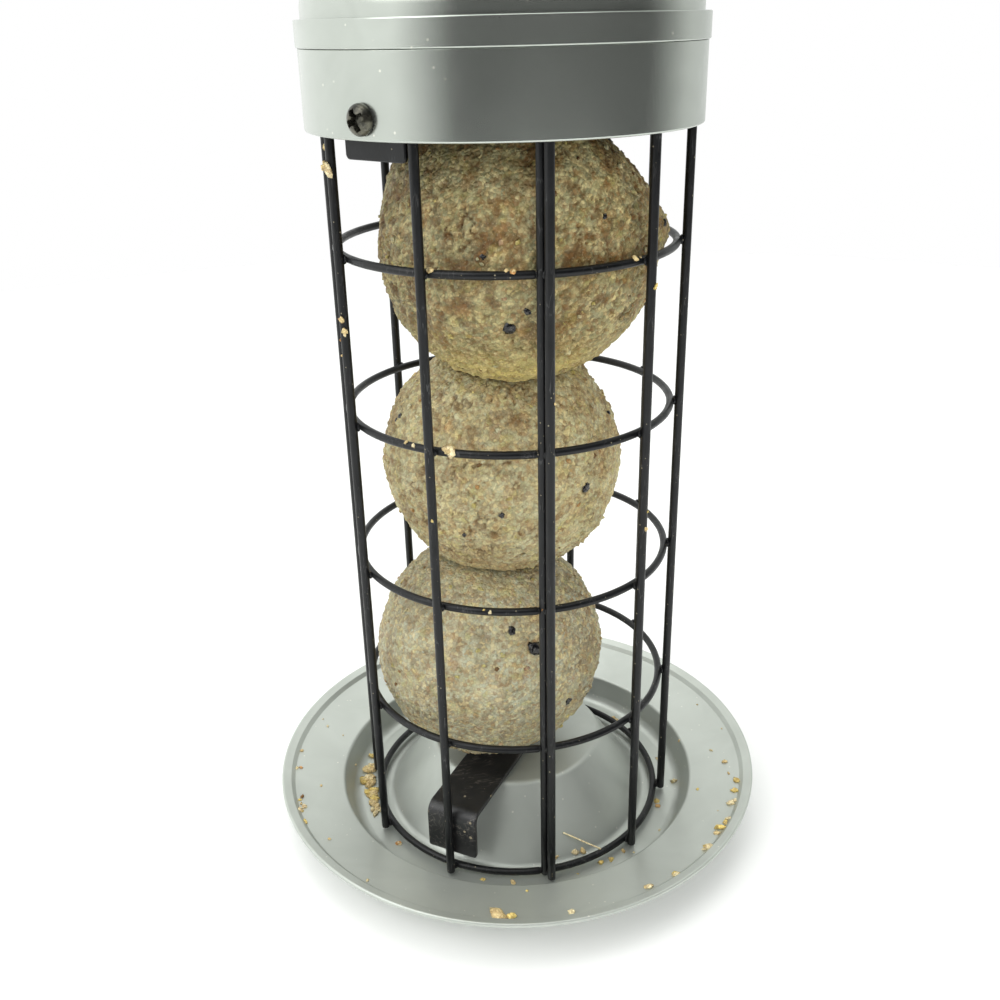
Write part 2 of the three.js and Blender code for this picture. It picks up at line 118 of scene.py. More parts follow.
# Collar, tabs and collar screws
COLLAR_BORE = 48.55
COLLAR_OUTER = 50.05
COLLAR_BOTTOM = 208.55
FLANGE_BOTTOM = 225.6
FLANGE_INNER = 45.35
COLLAR_TOP = 227.2
NECK_OUTER = 48.05
NECK_INNER = 46.55
NECK_TOP = 232.7
TAB_AZIMUTH = {"left": -49.145, "right": 130.855}
TAB_WIDTH = 18.6
TAB_INNER = 45.85
TAB_OUTER = 47.05
TAB_BOTTOM = 204.05
TAB_TOP = 225.3
TAB_CORNER = 1.2
TAB_SOFT = 0.25
SCREW_HEIGHT = 213.15
SCREW_SEAT = 50.35
SCREW_TIP = 43.85
SCREW_HEAD = 7
SCREW_HEAD_HEIGHT = 2.6
SCREW_SHANK = 3.5
SCREW_PITCH = 1.1
SCREW_POINT = 0.8
THREAD_DEPTH = 0.35
THREAD_END = 0.35
RECESS_LENGTH = 4.7
RECESS_WIDTH = 1.3
RECESS_DEPTH = 1.8
HOLE_GAP = 0.25
DRILL_OVER = 2
DRILL_LENGTH = 6
ASKEW = (0.3, 0.5, 0.81)  # a direction that no hole lies in

# Lid and bail
LID_BAND_INNER = 48.4
LID_BAND_OUTER = 50.5
LID_BAND_BOTTOM = 227.3
LID_BAND_TOP = 233.5
LID_LEDGE = 233.0
LID_GROOVE = 0.45
DRUM_INNER = 47.0
DRUM_OUTER = 48.8
DRUM_TOP = 235.8
DOME_RISE = 19
LID_WALL = 1.8
LID_HOLE = 1.95
BAIL_WIRE = 2.5
BAIL_RADIUS = 42
BAIL_SHOULDER = 329.5
HOOK_BEND = 2.6
HOOK_HEIGHT = 220.75

# Facets
TURN_STEPS = 256
WASHER_STEPS = 96
SCREW_STEPS = 112
THREAD_STEPS = 56
CROWN_STEPS = 31
RING_STEPS = 180
UPRIGHT_STEPS = 24
WIRE_SIDES = 20
CUT_STEPS = 4
ARC_STEPS = 6
BEND_STEPS = 12
CORNER_STEPS = 4
LEG_STEPS = 30
ARCH_STEPS = 72
BOWL_STEPS = 28
BALL_COLUMNS = 440
BALL_ROWS = 219
FAT_STEPS = 180
FAT_SIDES = 28
FLOOR_STEPS = 64
HOLD = 0.04  # straight left beside an arc, so that the flat next to it is shaded flat
SHARP = math.radians(38)


def place_camera():
    """The camera at the photograph's viewing angle."""
    camera = bpy.data.objects.new("camera", bpy.data.cameras.new("camera"))
    bpy.context.scene.collection.objects.link(camera)
    camera.data.sensor_width = CAMERA_SENSOR
    camera.data.lens = CAMERA_LENS
    camera.data.clip_start = 0.01
    camera.data.clip_end = 60
    heading = Matrix.Rotation(math.radians(-CAMERA_HEADING), 4, "Z")
    dip = Matrix.Rotation(math.radians(90 - CAMERA_DIP), 4, "X")
    roll = Matrix.Rotation(math.radians(CAMERA_ROLL), 4, "Z")
    place = Matrix.Translation([value * MM for value in CAMERA_PLACE])
    camera.matrix_world = place @ heading @ dip @ roll
    bpy.context.scene.camera = camera


place_camera()


# Small mathematics

def unit(vectors):
    """Vectors divided by their lengths."""
    return vectors / np.linalg.norm(vectors, axis=-1, keepdims=True)


def smooth(low, high, value):
    """An S-shaped step from 0 at low to 1 at high: 3t squared less 2t cubed."""
    t = np.clip((value - low) / (high - low), 0, 1)
    return t * t * (3 - 2 * t)


def outward(azimuth):
    """The level direction at an azimuth in degrees, measured from -Y towards +X."""
    turn = np.radians(azimuth)
    return np.stack([np.sin(turn), -np.cos(turn), np.zeros_like(turn)], axis=-1)


def aimed(azimuth, level):
    """The direction at an azimuth and a height angle, both in degrees."""
    tilt = np.radians(level)[..., None]
    return outward(azimuth) * np.cos(tilt) + UP * np.sin(tilt)


def point_at(azimuth, radius, height):
    """The point at an azimuth in degrees, a radius and a height; arrays of them give many points."""
    return np.asarray(radius)[..., None] * outward(azimuth) + np.asarray(height)[..., None] * UP


def whole_turn(steps):
    """The angles of a whole turn in even steps."""
    return np.linspace(0, 2 * np.pi, steps, endpoint=False)


def quarter_turn(steps):
    """The angles of a quarter turn in even steps, with both ends."""
    return np.linspace(0, np.pi / 2, steps + 1)


def node_box(name):
    """A CAD node's lowest and highest corner, in millimetres."""
    low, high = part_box(name)
    return np.array(low) / MM, np.array(high) / MM


def tint(red, green, blue):
    """A display colour, 0 to 255, as the linear colour that shaders read."""
    value = np.array([red, green, blue]) / 255
    linear = np.where(value < 0.04045, value / 12.92, ((value + 0.055) / 1.055) ** 2.4)
    return np.append(linear, 1.0)


def ring_heights():
    """The heights of the six rings' centres."""
    boxes = [node_box(f"cage_ring_{i + 1}") for i in range(RING_COUNT)]
    return [(low[2] + high[2]) / 2 for low, high in boxes]


UPRIGHT_RADIUS = CAGE_RADIUS + RING_WIRE / 2 + WELD_GAP + UPRIGHT_WIRE / 2
SEAM_TURN = math.degrees(SEAM_STEP / 2 / CAGE_RADIUS)
UPRIGHT_AZIMUTHS = [SEAM_TURN] + [i * 360 / UPRIGHT_COUNT for i in range(1, UPRIGHT_COUNT)]
RING_HEIGHTS = ring_heights()
UPRIGHT_ENDS = [corner[2] for corner in node_box("upright_1")]


# Noise, the same at every run

def scatter(cells, seed):
    """A number from 0 to 1 for each whole-number cell, from products and shifts of its three places."""
    x, y, z = (cells[..., i].astype(np.uint32) for i in range(3))
    mixed = x * np.uint32(73856093) ^ y * np.uint32(19349663) ^ z * np.uint32(83492791)
    mixed = mixed ^ np.uint32(seed * 2654435761 % 2**32)
    for shift, factor in ((13, 1540483477), (15, 668265263), (16, 1)):
        mixed = (mixed ^ (mixed >> np.uint32(shift))) * np.uint32(factor)
    return mixed / 2.0**32


def cloud(points, size, seed):
    """Soft noise from -1 to 1: random numbers on a grid of that size, joined by smooth steps."""
    places = points / size
    corner = np.floor(places).astype(np.int64)
    share = smooth(0, 1, places - corner)
    total = np.zeros(len(points))
    for step in np.ndindex(2, 2, 2):
        weight = np.prod(np.where(step, share, 1 - share), axis=1)
        total += weight * scatter(corner + step, seed)
    return 2 * total - 1


def grains(points, size, seed):
    """Grains round scattered middles: each point's grain number, 0 to 1, and its way to the next grain."""
    places = points / size
    cell = np.floor(places).astype(np.int64)
    first = np.full(len(points), 9.0)
    second = first.copy()
    number = np.zeros(len(points))
    for step in np.ndindex(3, 3, 3):
        near = cell + step - 1
        middle = near + np.stack([scatter(near, seed + k) for k in range(3)], axis=1)
        gap = np.linalg.norm(places - middle, axis=1)
        closer = gap < first
        second = np.where(closer, first, np.minimum(second, gap))
        number = np.where(closer, scatter(near, seed + 3), number)
        first = np.where(closer, gap, first)
    return number, second - first


# Outlines and surfaces, as arrays

def rounded(corners):
    """An outline through corners of x, y and radius: a corner with a radius becomes an arc that touches
    both its sides, with a short straight before and after it."""
    outline = []
    for i, (x, y, radius) in enumerate(corners):
        here = np.array([x, y], float)
        if radius == 0:
            outline.append(here)
            continue
        back = unit(np.array(corners[i - 1][:2]) - here)
        on = unit(np.array(corners[(i + 1) % len(corners)][:2]) - here)
        half = math.acos(np.clip(back @ on, -1, 1)) / 2
        reach = radius / math.tan(half)
        sweep = math.pi - 2 * half
        centre = here + unit(back + on) * radius / math.sin(half)
        start = here + back * reach - centre
        stop = here + on * reach - centre
        t = np.linspace(0, 1, ARC_STEPS + 1)[:, None]
        arc = (np.sin((1 - t) * sweep) * start + np.sin(t * sweep) * stop) / math.sin(sweep)
        outline += [here + back * (reach + HOLD), centre + arc, here + on * (reach + HOLD)]
    return np.vstack(outline)


def rectangle(half_width, low, high, radius):
    """A round-cornered rectangle's outline, about the middle of its width."""
    ends = ((-half_width, low), (half_width, low), (half_width, high), (-half_width, high))
    return rounded([[x, y, radius] for x, y in ends])


def ellipse(centre, radii, start, stop, steps):
    """Corners without rounding on an elliptic arc: centre plus radii times cosine and sine."""
    turn = np.radians(np.linspace(start, stop, steps + 1))
    x = centre[0] + radii[0] * np.cos(turn)
    y = centre[1] + radii[1] * np.sin(turn)
    return np.stack([x, y, np.zeros_like(x)], axis=1).tolist()


def quads(rows, columns, looped=False):
    """The four-cornered faces of a grid whose rows are loops; looped joins its last row to its first."""
    column = np.arange(columns)
    beside = (column + 1) % columns
    row = np.arange(rows if looped else rows - 1)[:, None]
    here = row * columns
    above = (row + 1) % rows * columns
    corners = (here + column, here + beside, above + beside, above + column)
    return np.stack(corners, axis=-1).reshape(-1, 4)


def capped(rows, columns):
    """The faces of a grid whose first and last row are each closed by one flat face."""
    loop = np.arange(columns)[None]
    return [quads(rows, columns), loop[:, ::-1], loop + (rows - 1) * columns]


def poled(rows, columns):
    """The faces of a grid that fans of triangles close at two poles, which are numbered after the grid."""
    column = np.arange(columns)
    beside = (column + 1) % columns
    last = (rows - 1) * columns
    first_pole = np.full(columns, rows * columns)
    bottom = np.stack([first_pole, beside, column], axis=1)
    top = np.stack([first_pole + 1, last + column, last + beside], axis=1)
    return [quads(rows, columns), np.vstack([bottom, top])]


def sphere(rows, columns):
    """A unit sphere's points: circles at even angles between the poles, and then the two poles."""
    tilt = (np.arange(rows)[:, None] + 1) * np.pi / (rows + 1)
    turn = whole_turn(columns)
    across = np.sin(tilt)
    circles = np.stack([across * np.cos(turn), across * np.sin(turn), 0 * turn - np.cos(tilt)], axis=-1)
    return np.vstack([circles.reshape(-1, 3), -UP, UP])


def lathe(profile, steps=TURN_STEPS):
    """A profile of radius and height turned about Z: each point's circle. A profile that starts and ends
    on the axis is closed there by poles, any other is closed on itself."""
    poles = profile[0, 0] == 0
    body = profile[1:-1] if poles else profile
    turn = whole_turn(steps)
    radius, height = body[:, :1], body[:, 1:] + 0 * turn
    points = np.stack([radius * np.sin(turn), -radius * np.cos(turn), height], axis=-1).reshape(-1, 3)
    if not poles:
        return points, [quads(len(body), steps, looped=True)]
    return np.vstack([points, profile[0, 1] * UP, profile[-1, 1] * UP]), poled(len(body), steps)


def carried(path, side, section):
    """A closed section carried along a flat path: its first number goes to the side, which is square to
    the path's plane, and its second along the path's normal. Flat faces close both ends."""
    along = unit(np.gradient(path, axis=0))
    normal = np.cross(side, along)
    points = path[:, None] + section[..., :1] * side + section[..., 1:] * normal[:, None]
    return points.reshape(-1, 3), capped(*points.shape[:2])


def wire(path, side, diameter):
    """A round wire: a circle carried along a path. Near each cut end the circle shrinks on a quarter
    ellipse, which rounds the end's edge."""
    radius = diameter / 2
    bend = np.linspace(np.pi / 2, 0, CUT_STEPS)[:, None]
    inset = CUT_ROUND * radius * (1 - np.sin(bend))
    narrow = 1 - CUT_ROUND * (1 - np.cos(bend))
    head = path[0] + inset * unit(path[1] - path[0])
    tail = path[-1] + inset[::-1] * unit(path[-2] - path[-1])
    middle = path[1:-1]
    scale = np.vstack([narrow, np.ones((len(middle), 1)), narrow[::-1]])[:, None]
    turn = whole_turn(WIRE_SIDES)
    circle = np.stack([np.cos(turn), np.sin(turn)], axis=-1)
    return carried(np.vstack([head, middle, tail]), side, radius * scale * circle)


def standing(normals, spin):
    """Three axes for each normal: the third along it, the others turned about it by an angle."""
    helper = np.where(np.abs(normals[:, 2:]) < 0.9, UP, [1.0, 0.0, 0.0])
    first = unit(np.cross(helper, normals))
    second = np.cross(normals, first)
    x = np.cos(spin) * first + np.sin(spin) * second
    y = np.cos(spin) * second - np.sin(spin) * first
    return np.stack([x, y, normals], axis=1)


def strewn_axes(normals, rng):
    """Axes for things that lie on a surface, each turned about its normal by a random angle."""
    return standing(normals, rng.uniform(0, 2 * np.pi, (len(normals), 1)))


def lumps(places, sizes, axes, rng, ragged, rows, columns):
    """Many small blobs in one mesh: a sphere's grid, each corner's radius varied by the ragged share,
    then scaled on three axes, turned by the axes and moved to its place."""
    ball = sphere(rows, columns)
    radius = 1 + ragged * rng.uniform(-1, 1, (len(places), len(ball), 1))
    points = (ball * radius * sizes[:, None]) @ axes + places[:, None]
    start = (np.arange(len(places)) * len(ball))[:, None, None]
    faces = [(face + start).reshape(-1, face.shape[1]) for face in poled(rows, columns)]
    return points.reshape(-1, 3), faces


# Meshes

def signed_volume(points, faces):
    """Six times the volume, from fans of triangles: negative where the faces point inwards."""
    total = 0.0
    for face in faces:
        first = points[face[:, 0]]
        for k in range(1, face.shape[1] - 1):
            total += np.einsum("ij,ij->", first, np.cross(points[face[:, k]], points[face[:, k + 1]]))
    return total


def make(name, points, faces, material=None, colours=None, sharp=True):
    """A mesh object from points in millimetres and arrays of faces, turned outwards if need be."""
    if signed_volume(points, faces) < 0:
        faces = [face[:, ::-1] for face in faces]
    corners = np.concatenate([face.ravel() for face in faces])
    counts = np.concatenate([np.full(len(face), face.shape[1]) for face in faces])
    mesh = bpy.data.meshes.new(name)
    mesh.vertices.add(len(points))
    mesh.vertices.foreach_set("co", (points * MM).astype(np.float32).ravel())
    mesh.loops.add(len(corners))
    mesh.loops.foreach_set("vertex_index", corners.astype(np.int32))
    mesh.polygons.add(len(counts))
    mesh.polygons.foreach_set("loop_start", (np.cumsum(counts) - counts).astype(np.int32))
    mesh.update(calc_edges=True)
    mesh.polygons.foreach_set("use_smooth", np.ones(len(counts), bool))
    if sharp:
        mesh.set_sharp_from_angle(angle=SHARP)
    if colours is not None:
        layer = mesh.color_attributes.new("meal", "FLOAT_COLOR", "POINT")
        layer.data.foreach_set("color", colours.astype(np.float32).ravel())
    if material is not None:
        mesh.materials.append(material)
    piece = bpy.data.objects.new(name, mesh)
    bpy.context.scene.collection.objects.link(piece)
    return piece


def drill(piece, start, stop, radius):
    """A round hole through a piece: a rod from start to stop is taken away, and the result applied."""
    path = np.linspace(start, stop, 3)
    side = unit(np.cross(path[2] - path[0], ASKEW))
    cutter = make("cutter", *wire(path, side, 2 * radius))
    hole = piece.modifiers.new("hole", "BOOLEAN")
    hole.operation = "DIFFERENCE"
    hole.solver = "EXACT"
    hole.object = cutter
    bpy.context.view_layer.update()
    shaped = piece.evaluated_get(bpy.context.evaluated_depsgraph_get())
    cut = bpy.data.meshes.new_from_object(shaped)
    piece.modifiers.remove(hole)
    whole, rod = piece.data, cutter.data
    name = whole.name
    piece.data = cut
    bpy.data.objects.remove(cutter)
    for mesh in (whole, rod):
        bpy.data.meshes.remove(mesh)
    cut.name = name
    cut.set_sharp_from_angle(angle=SHARP)


def drill_out(piece, azimuth, radius, height, diameter):
    """A hole for a rod of a diameter, drilled outwards through a wall that begins at a radius."""
    start = point_at(azimuth, radius - DRILL_OVER, height)
    drill(piece, start, start + DRILL_LENGTH * outward(azimuth), diameter / 2 + HOLE_GAP)


def fit(piece, slot, *nodes, body="feeder"):
    """Puts a piece on its body and hides the CAD nodes that it stands for; the finish given as slot is not
    used.
    """
    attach(piece, body)
    if nodes:
        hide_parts(*nodes)
    return piece


# Shader nodes

def add(tree, kind, inputs=None, **settings):
    """A node with its settings; an input is a value, or a socket to link from."""
    made = tree.nodes.new(kind)
    for key, value in settings.items():
        setattr(made, key, value)
    for key, value in (inputs or {}).items():
        if isinstance(value, bpy.types.NodeSocket):
            tree.links.new(value, made.inputs[key])
        else:
            made.inputs[key].default_value = value
    return made


def blend(tree, share, first, second):
    """A colour between two, by a share from 0 to 1."""
    return add(tree, "ShaderNodeMix", {0: share, 6: first, 7: second}, data_type="RGBA").outputs[2]


def spread(tree, value, low, high, to_low, to_high):
    """A value's range low to high as another range, held at its ends."""
    inputs = {"Value": value, "From Min": low, "From Max": high, "To Min": to_low, "To Max": to_high}
    return add(tree, "ShaderNodeMapRange", inputs).outputs["Result"]


def calculate(tree, operation, first, second):
    """Two values put together by an operation of the Math node."""
    return add(tree, "ShaderNodeMath", {0: first, 1: second}, operation=operation).outputs[0]


def times(tree, first, second):
    """Two values multiplied."""
    return calculate(tree, "MULTIPLY", first, second)


def ramp(tree, value, low, high, first, second):
    """A colour that goes from one to another while a value goes from low to high."""
    return blend(tree, spread(tree, value, low, high, 0.0, 1.0), first, second)


def laid_over(tree, colour, mask, strength, cover):
    """A colour with another over it where a mask is, at a strength from 0 to 1."""
    return blend(tree, times(tree, mask, strength), colour, cover)


def haze(tree, place, scale, detail=3.0, rough=0.5, distortion=0.0):
    """Noise from 0 to 1; scale is how many lumps there are in a metre."""
    inputs = {"Vector": place, "Scale": scale, "Detail": detail, "Roughness": rough, "Distortion": distortion}
    return add(tree, "ShaderNodeTexNoise", inputs).outputs["Fac"]


VECTOR = "NodeSocketVector"
NUMBER = "NodeSocketFloat"


def group_with(name, inputs, output):
    """An empty shader node group: its tree, its inputs' sockets by name, and its output's socket."""
    tree = bpy.data.node_groups.new(name, "ShaderNodeTree")
    for socket, kind in inputs.items():
        tree.interface.new_socket(socket, in_out="INPUT", socket_type=kind)
    tree.interface.new_socket(output, in_out="OUTPUT", socket_type=NUMBER)
    given = tree.nodes.new("NodeGroupInput").outputs
    return tree, given, tree.nodes.new("NodeGroupOutput").inputs[output]


def use(tree, group, inputs):
    """The output of a group placed in a tree."""
    return add(tree, "ShaderNodeGroup", inputs, node_tree=group).outputs[0]


def specks_group():
    """Scattered round specks: in a share of the cells, the nearness to the cell's middle, cut at a size
    that differs from cell to cell."""
    tree, given, mask = group_with("specks", {"Place": VECTOR, "Scale": NUMBER, "Share": NUMBER}, "Mask")
    cells = add(tree, "ShaderNodeTexVoronoi", {"Vector": given["Place"], "Scale": given["Scale"]})
    draw = add(tree, "ShaderNodeSeparateColor", {0: cells.outputs["Color"]}).outputs
    size = spread(tree, draw[1], 0, 1, 0.06, 0.32)
    near = calculate(tree, "LESS_THAN", cells.outputs["Distance"], size)
    taken = calculate(tree, "LESS_THAN", draw[0], given["Share"])
    tree.links.new(times(tree, near, taken), mask)
    return tree


def rubs_group():
    """Fine rub lines: noise drawn out along one direction, shown only where it is close to its middle
    value, and only inside patches of a wider noise."""
    inputs = {"Place": VECTOR, "Scale": NUMBER, "Width": NUMBER, "Stretch": VECTOR}
    tree, given, mask = group_with("rubs", inputs, "Mask")
    stretch = {0: given["Place"], 1: given["Stretch"]}
    drawn = add(tree, "ShaderNodeVectorMath", stretch, operation="MULTIPLY").outputs[0]
    fine = haze(tree, drawn, given["Scale"], 2.0)
    away = calculate(tree, "ABSOLUTE", calculate(tree, "SUBTRACT", fine, 0.5), 0.0)
    line = calculate(tree, "LESS_THAN", away, given["Width"])
    wide = haze(tree, given["Place"], 130.0, 2.0)
    patch = spread(tree, wide, 0.48, 0.62, 0.0, 1.0)
    tree.links.new(times(tree, line, patch), mask)
    return tree


def skin_group():
    """A moulded or coated skin's relief: two sizes of soft noise, the finer one at a third of the height."""
    tree, given, height = group_with("skin", {"Place": VECTOR, "Scale": NUMBER}, "Height")
    fine_scale = times(tree, given["Scale"], 3.3)
    wide = haze(tree, given["Place"], given["Scale"], 1.0)
    fine = times(tree, haze(tree, given["Place"], fine_scale, 2.0), 0.33)
    tree.links.new(calculate(tree, "ADD", wide, fine), height)
    return tree


SPECKS = specks_group()
RUBS = rubs_group()
SKIN = skin_group()


def material_with(name):
    """A material with its shader, and the place on the object that patterns read."""
    material = bpy.data.materials.new(name)
    material.use_nodes = True
    tree = material.node_tree
    place = tree.nodes.new("ShaderNodeTexCoord").outputs["Object"]
    return material, tree, tree.nodes["Principled BSDF"], place


def dress(tree, shader, colour, rough, height, strength, depth):
    """Links a shader's colour, its roughness and a relief of a height, depth in metres."""
    inputs = {"Height": height, "Strength": strength, "Distance": depth}
    relief = add(tree, "ShaderNodeBump", inputs).outputs["Normal"]
    for value, socket in ((colour, "Base Color"), (rough, "Roughness"), (relief, "Normal")):
        tree.links.new(value, shader.inputs[socket])


def pewter_material(name, metal, dull, bright):
    """Pewter-grey moulded plastic with a metallic pigment: soft flow marks between a dull and a bright
    roughness, a faintly wavy skin and a little dust."""
    material, tree, shader, place = material_with(name)
    shader.inputs["Metallic"].default_value = metal
    smear = haze(tree, place, 55.0, 3.0, 0.55, 0.6)
    colour = ramp(tree, smear, 0.3, 0.7, tint(179, 184, 177), tint(188, 193, 186))
    grit = use(tree, SPECKS, {"Place": place, "Scale": 950.0, "Share": 0.035})
    colour = laid_over(tree, colour, grit, 0.5, tint(236, 234, 222))
    gloss = spread(tree, smear, 0.3, 0.7, dull, bright)
    dress(tree, shader, colour, gloss, haze(tree, place, 45.0, 0.0), 0.1, 0.0003)
    return material


def black_coat_material():
    """Near-black powder coat on wire: satin, with a soft orange-peel skin, fine rubs and crumb dust."""
    material, tree, shader, place = material_with("black_coat")
    shader.inputs["Specular IOR Level"].default_value = 0.35
    mottle = haze(tree, place, 120.0, 3.0)
    colour = ramp(tree, mottle, 0.35, 0.65, tint(9, 10, 11), tint(16, 17, 19))
    stretch = (1.0, 1.0, 0.15)
    rub = use(tree, RUBS, {"Place": place, "Scale": 700.0, "Width": 0.012, "Stretch": stretch})
    colour = laid_over(tree, colour, rub, 0.3, tint(96, 97, 97))
    dust = use(tree, SPECKS, {"Place": place, "Scale": 1500.0, "Share": 0.05})
    colour = laid_over(tree, colour, dust, 0.45, tint(188, 178, 150))
    gloss = spread(tree, haze(tree, place, 260.0, 3.0), 0.3, 0.7, 0.3, 0.46)
    gloss = calculate(tree, "ADD", gloss, times(tree, dust, 0.4))
    skin = use(tree, SKIN, {"Place": place, "Scale": 850.0})
    dress(tree, shader, colour, gloss, calculate(tree, "ADD", skin, dust), 0.3, 0.0001)
    return material


def strap_material():
    """The strap's brown-black coat: flatter and more scratched than the wires', with settled meal dust."""
    material, tree, shader, place = material_with("strap_coat")
    mottle = haze(tree, place, 75.0, 4.0, 0.6, 0.5)
    colour = ramp(tree, mottle, 0.35, 0.7, tint(25, 26, 27), tint(40, 39, 39))
    stretch = (0.25, 1.6, 1.0)
    rub = use(tree, RUBS, {"Place": place, "Scale": 520.0, "Width": 0.012, "Stretch": stretch})
    colour = laid_over(tree, colour, rub, 0.45, tint(118, 112, 104))
    dust = use(tree, SPECKS, {"Place": place, "Scale": 640.0, "Share": 0.1})
    colour = laid_over(tree, colour, dust, 0.5, tint(176, 164, 136))
    gloss = spread(tree, haze(tree, place, 200.0, 3.0), 0.3, 0.7, 0.3, 0.5)
    gloss = calculate(tree, "ADD", gloss, times(tree, dust, 0.35))
    skin = use(tree, SKIN, {"Place": place, "Scale": 700.0})
    dress(tree, shader, colour, gloss, calculate(tree, "SUBTRACT", skin, rub), 0.3, 0.0001)
    return material


def dark_steel_material():
    """Dark zinc-plated steel: blotched plating with a greenish cast and rubbed, brighter spots."""
    material, tree, shader, place = material_with("dark_steel")
    shader.inputs["Metallic"].default_value = 0.9
    blotch = haze(tree, place, 420.0, 4.0, 0.6)
    colour = ramp(tree, blotch, 0.35, 0.65, tint(58, 58, 54), tint(104, 102, 90))
    stretch = (1.0, 1.0, 1.0)
    rub = use(tree, RUBS, {"Place": place, "Scale": 900.0, "Width": 0.02, "Stretch": stretch})
    colour = laid_over(tree, colour, rub, 0.6, tint(176, 176, 168))
    gloss = spread(tree, blotch, 0.3, 0.7, 0.2, 0.34)
    skin = use(tree, SKIN, {"Place": place, "Scale": 1600.0})
    dress(tree, shader, colour, gloss, skin, 0.2, 0.00005)
    return material


def meal_material():
    """Pressed meal and fat: the mesh's own grain colours, broken up by small bent grains that differ in
    brightness and stand apart, dull with greasy spots. Pale grains show only where the meal is light. Bright
    specks of the fine crumbs are painted highlights, glints laid into the colour."""
    material, tree, shader, place = material_with("fat_and_seed")
    meal = add(tree, "ShaderNodeAttribute", attribute_name="meal").outputs["Color"]
    waver = {"Vector": place, "Scale": 700.0, "Detail": 2.0}
    bend = add(tree, "ShaderNodeTexNoise", waver).outputs["Color"]
    shift = add(tree, "ShaderNodeVectorMath", {0: bend, "Scale": 0.0004}, operation="SCALE").outputs[0]
    bent = add(tree, "ShaderNodeVectorMath", {0: place, 1: shift}, operation="ADD").outputs[0]
    cells = {"Vector": bent, "Scale": 1100.0}
    grain = add(tree, "ShaderNodeTexVoronoi", cells).outputs
    draw = add(tree, "ShaderNodeSeparateColor", {0: grain["Color"]}).outputs
    edge = add(tree, "ShaderNodeTexVoronoi", cells, feature="DISTANCE_TO_EDGE").outputs["Distance"]
    gap = spread(tree, edge, 0.0, 0.12, 0.26, 0.0)
    light = add(tree, "ShaderNodeRGBToBW", {0: meal}).outputs[0]
    sound = spread(tree, light, 0.08, 0.22, 0.0, 1.0)
    pale = times(tree, spread(tree, draw[0], 0.5, 1.0, 0.0, 0.42), sound)
    crumb = haze(tree, place, 2200.0, 3.0, 0.65)
    colour = meal
    for share, cover in (
        (pale, tint(232, 210, 150)),
        (spread(tree, draw[1], 0.62, 1.0, 0.0, 0.5), tint(132, 92, 46)),
        (gap, tint(108, 72, 28)),
        (spread(tree, crumb, 0.34, 0.48, 0.16, 0.0), tint(98, 66, 26)),
        # painted highlights: bright glints on the fine crumbs, laid into the colour
        (spread(tree, crumb, 0.58, 0.68, 0.0, 0.18), tint(246, 230, 184)),
    ):
        colour = blend(tree, share, colour, cover)
    gloss = spread(tree, haze(tree, place, 240.0, 3.0), 0.35, 0.7, 0.8, 0.48)
    shader.inputs["Subsurface Weight"].default_value = 0.08
    shader.inputs["Subsurface Radius"].default_value = (0.0012, 0.0008, 0.0004)
    shader.inputs["Subsurface Scale"].default_value = 1.0
    rounds = spread(tree, grain["Distance"], 0.0, 0.7, 1.0, 0.0)
    stand = calculate(tree, "ADD", rounds, times(tree, draw[2], 0.5))
    height = calculate(tree, "ADD", stand, times(tree, crumb, 0.6))
    dress(tree, shader, colour, gloss, height, 0.8, 0.0004)
    return material


def seed_material():
    """Dark seed hulls: blue-black with paler streaks, slightly glossy."""
    material, tree, shader, place = material_with("seed_hull")
    streak = haze(tree, place, 900.0, 3.0, 0.6, 1.2)
    colour = ramp(tree, streak, 0.5, 0.72, tint(15, 15, 17), tint(104, 102, 98))
    gloss = spread(tree, streak, 0.3, 0.7, 0.16, 0.42)
    skin = use(tree, SKIN, {"Place": place, "Scale": 1800.0})
    dress(tree, shader, colour, gloss, skin, 0.4, 0.0001)
    return material


PEWTER = pewter_material("pewter_plastic", 0.9, 0.24, 0.2)
PEWTER_SATIN = pewter_material("pewter_satin", 0.62, 0.46, 0.4)
BLACK_COAT = black_coat_material()
STRAP_COAT = strap_material()
DARK_STEEL = dark_steel_material()
MEAL = meal_material()
SEED_HULL = seed_material()


# Tray

BOSS_EDGE = (BOSS_FOOT - BOSS_TAPER, BOSS_TOP)
BOSS_END = (BOSS_FOOT, TRAY_WALL)
WALL_FOOT = (TROUGH_OUTER, TRAY_WALL)


def slope(start, stop):
    """The angle of the line from one point to another."""
    return math.atan2(stop[1] - start[1], stop[0] - start[0])


def beneath(corner, before, after, rounding):
    """The corner of the tray's underside below a corner of its upper face, one wall away from both sides."""
    middle = (before + after) / 2
    reach = TRAY_WALL / math.cos((before - after) / 2)
    return [corner[0] + reach * math.sin(middle), corner[1] - reach * math.cos(middle), rounding]


def tray_upper():
    """The tray's upper face from the rim in to the boss: lip, brim, trough wall, trough and boss."""
    return [
        [TRAY_RADIUS, RIM_TOP, 0.5],
        [LIP_INNER, RIM_TOP - LIP_RISE, 0.35],
        [*BRIM_END, 0.5],
        [*BRIM_START, 1.2],
        [*WALL_FOOT, TROUGH_ROUND],
        [*BOSS_END, BOSS_ROUND],
        [*BOSS_EDGE, BOSS_ROUND],
        [TRAY_HOLE, BOSS_TOP, 0.2],
    ]


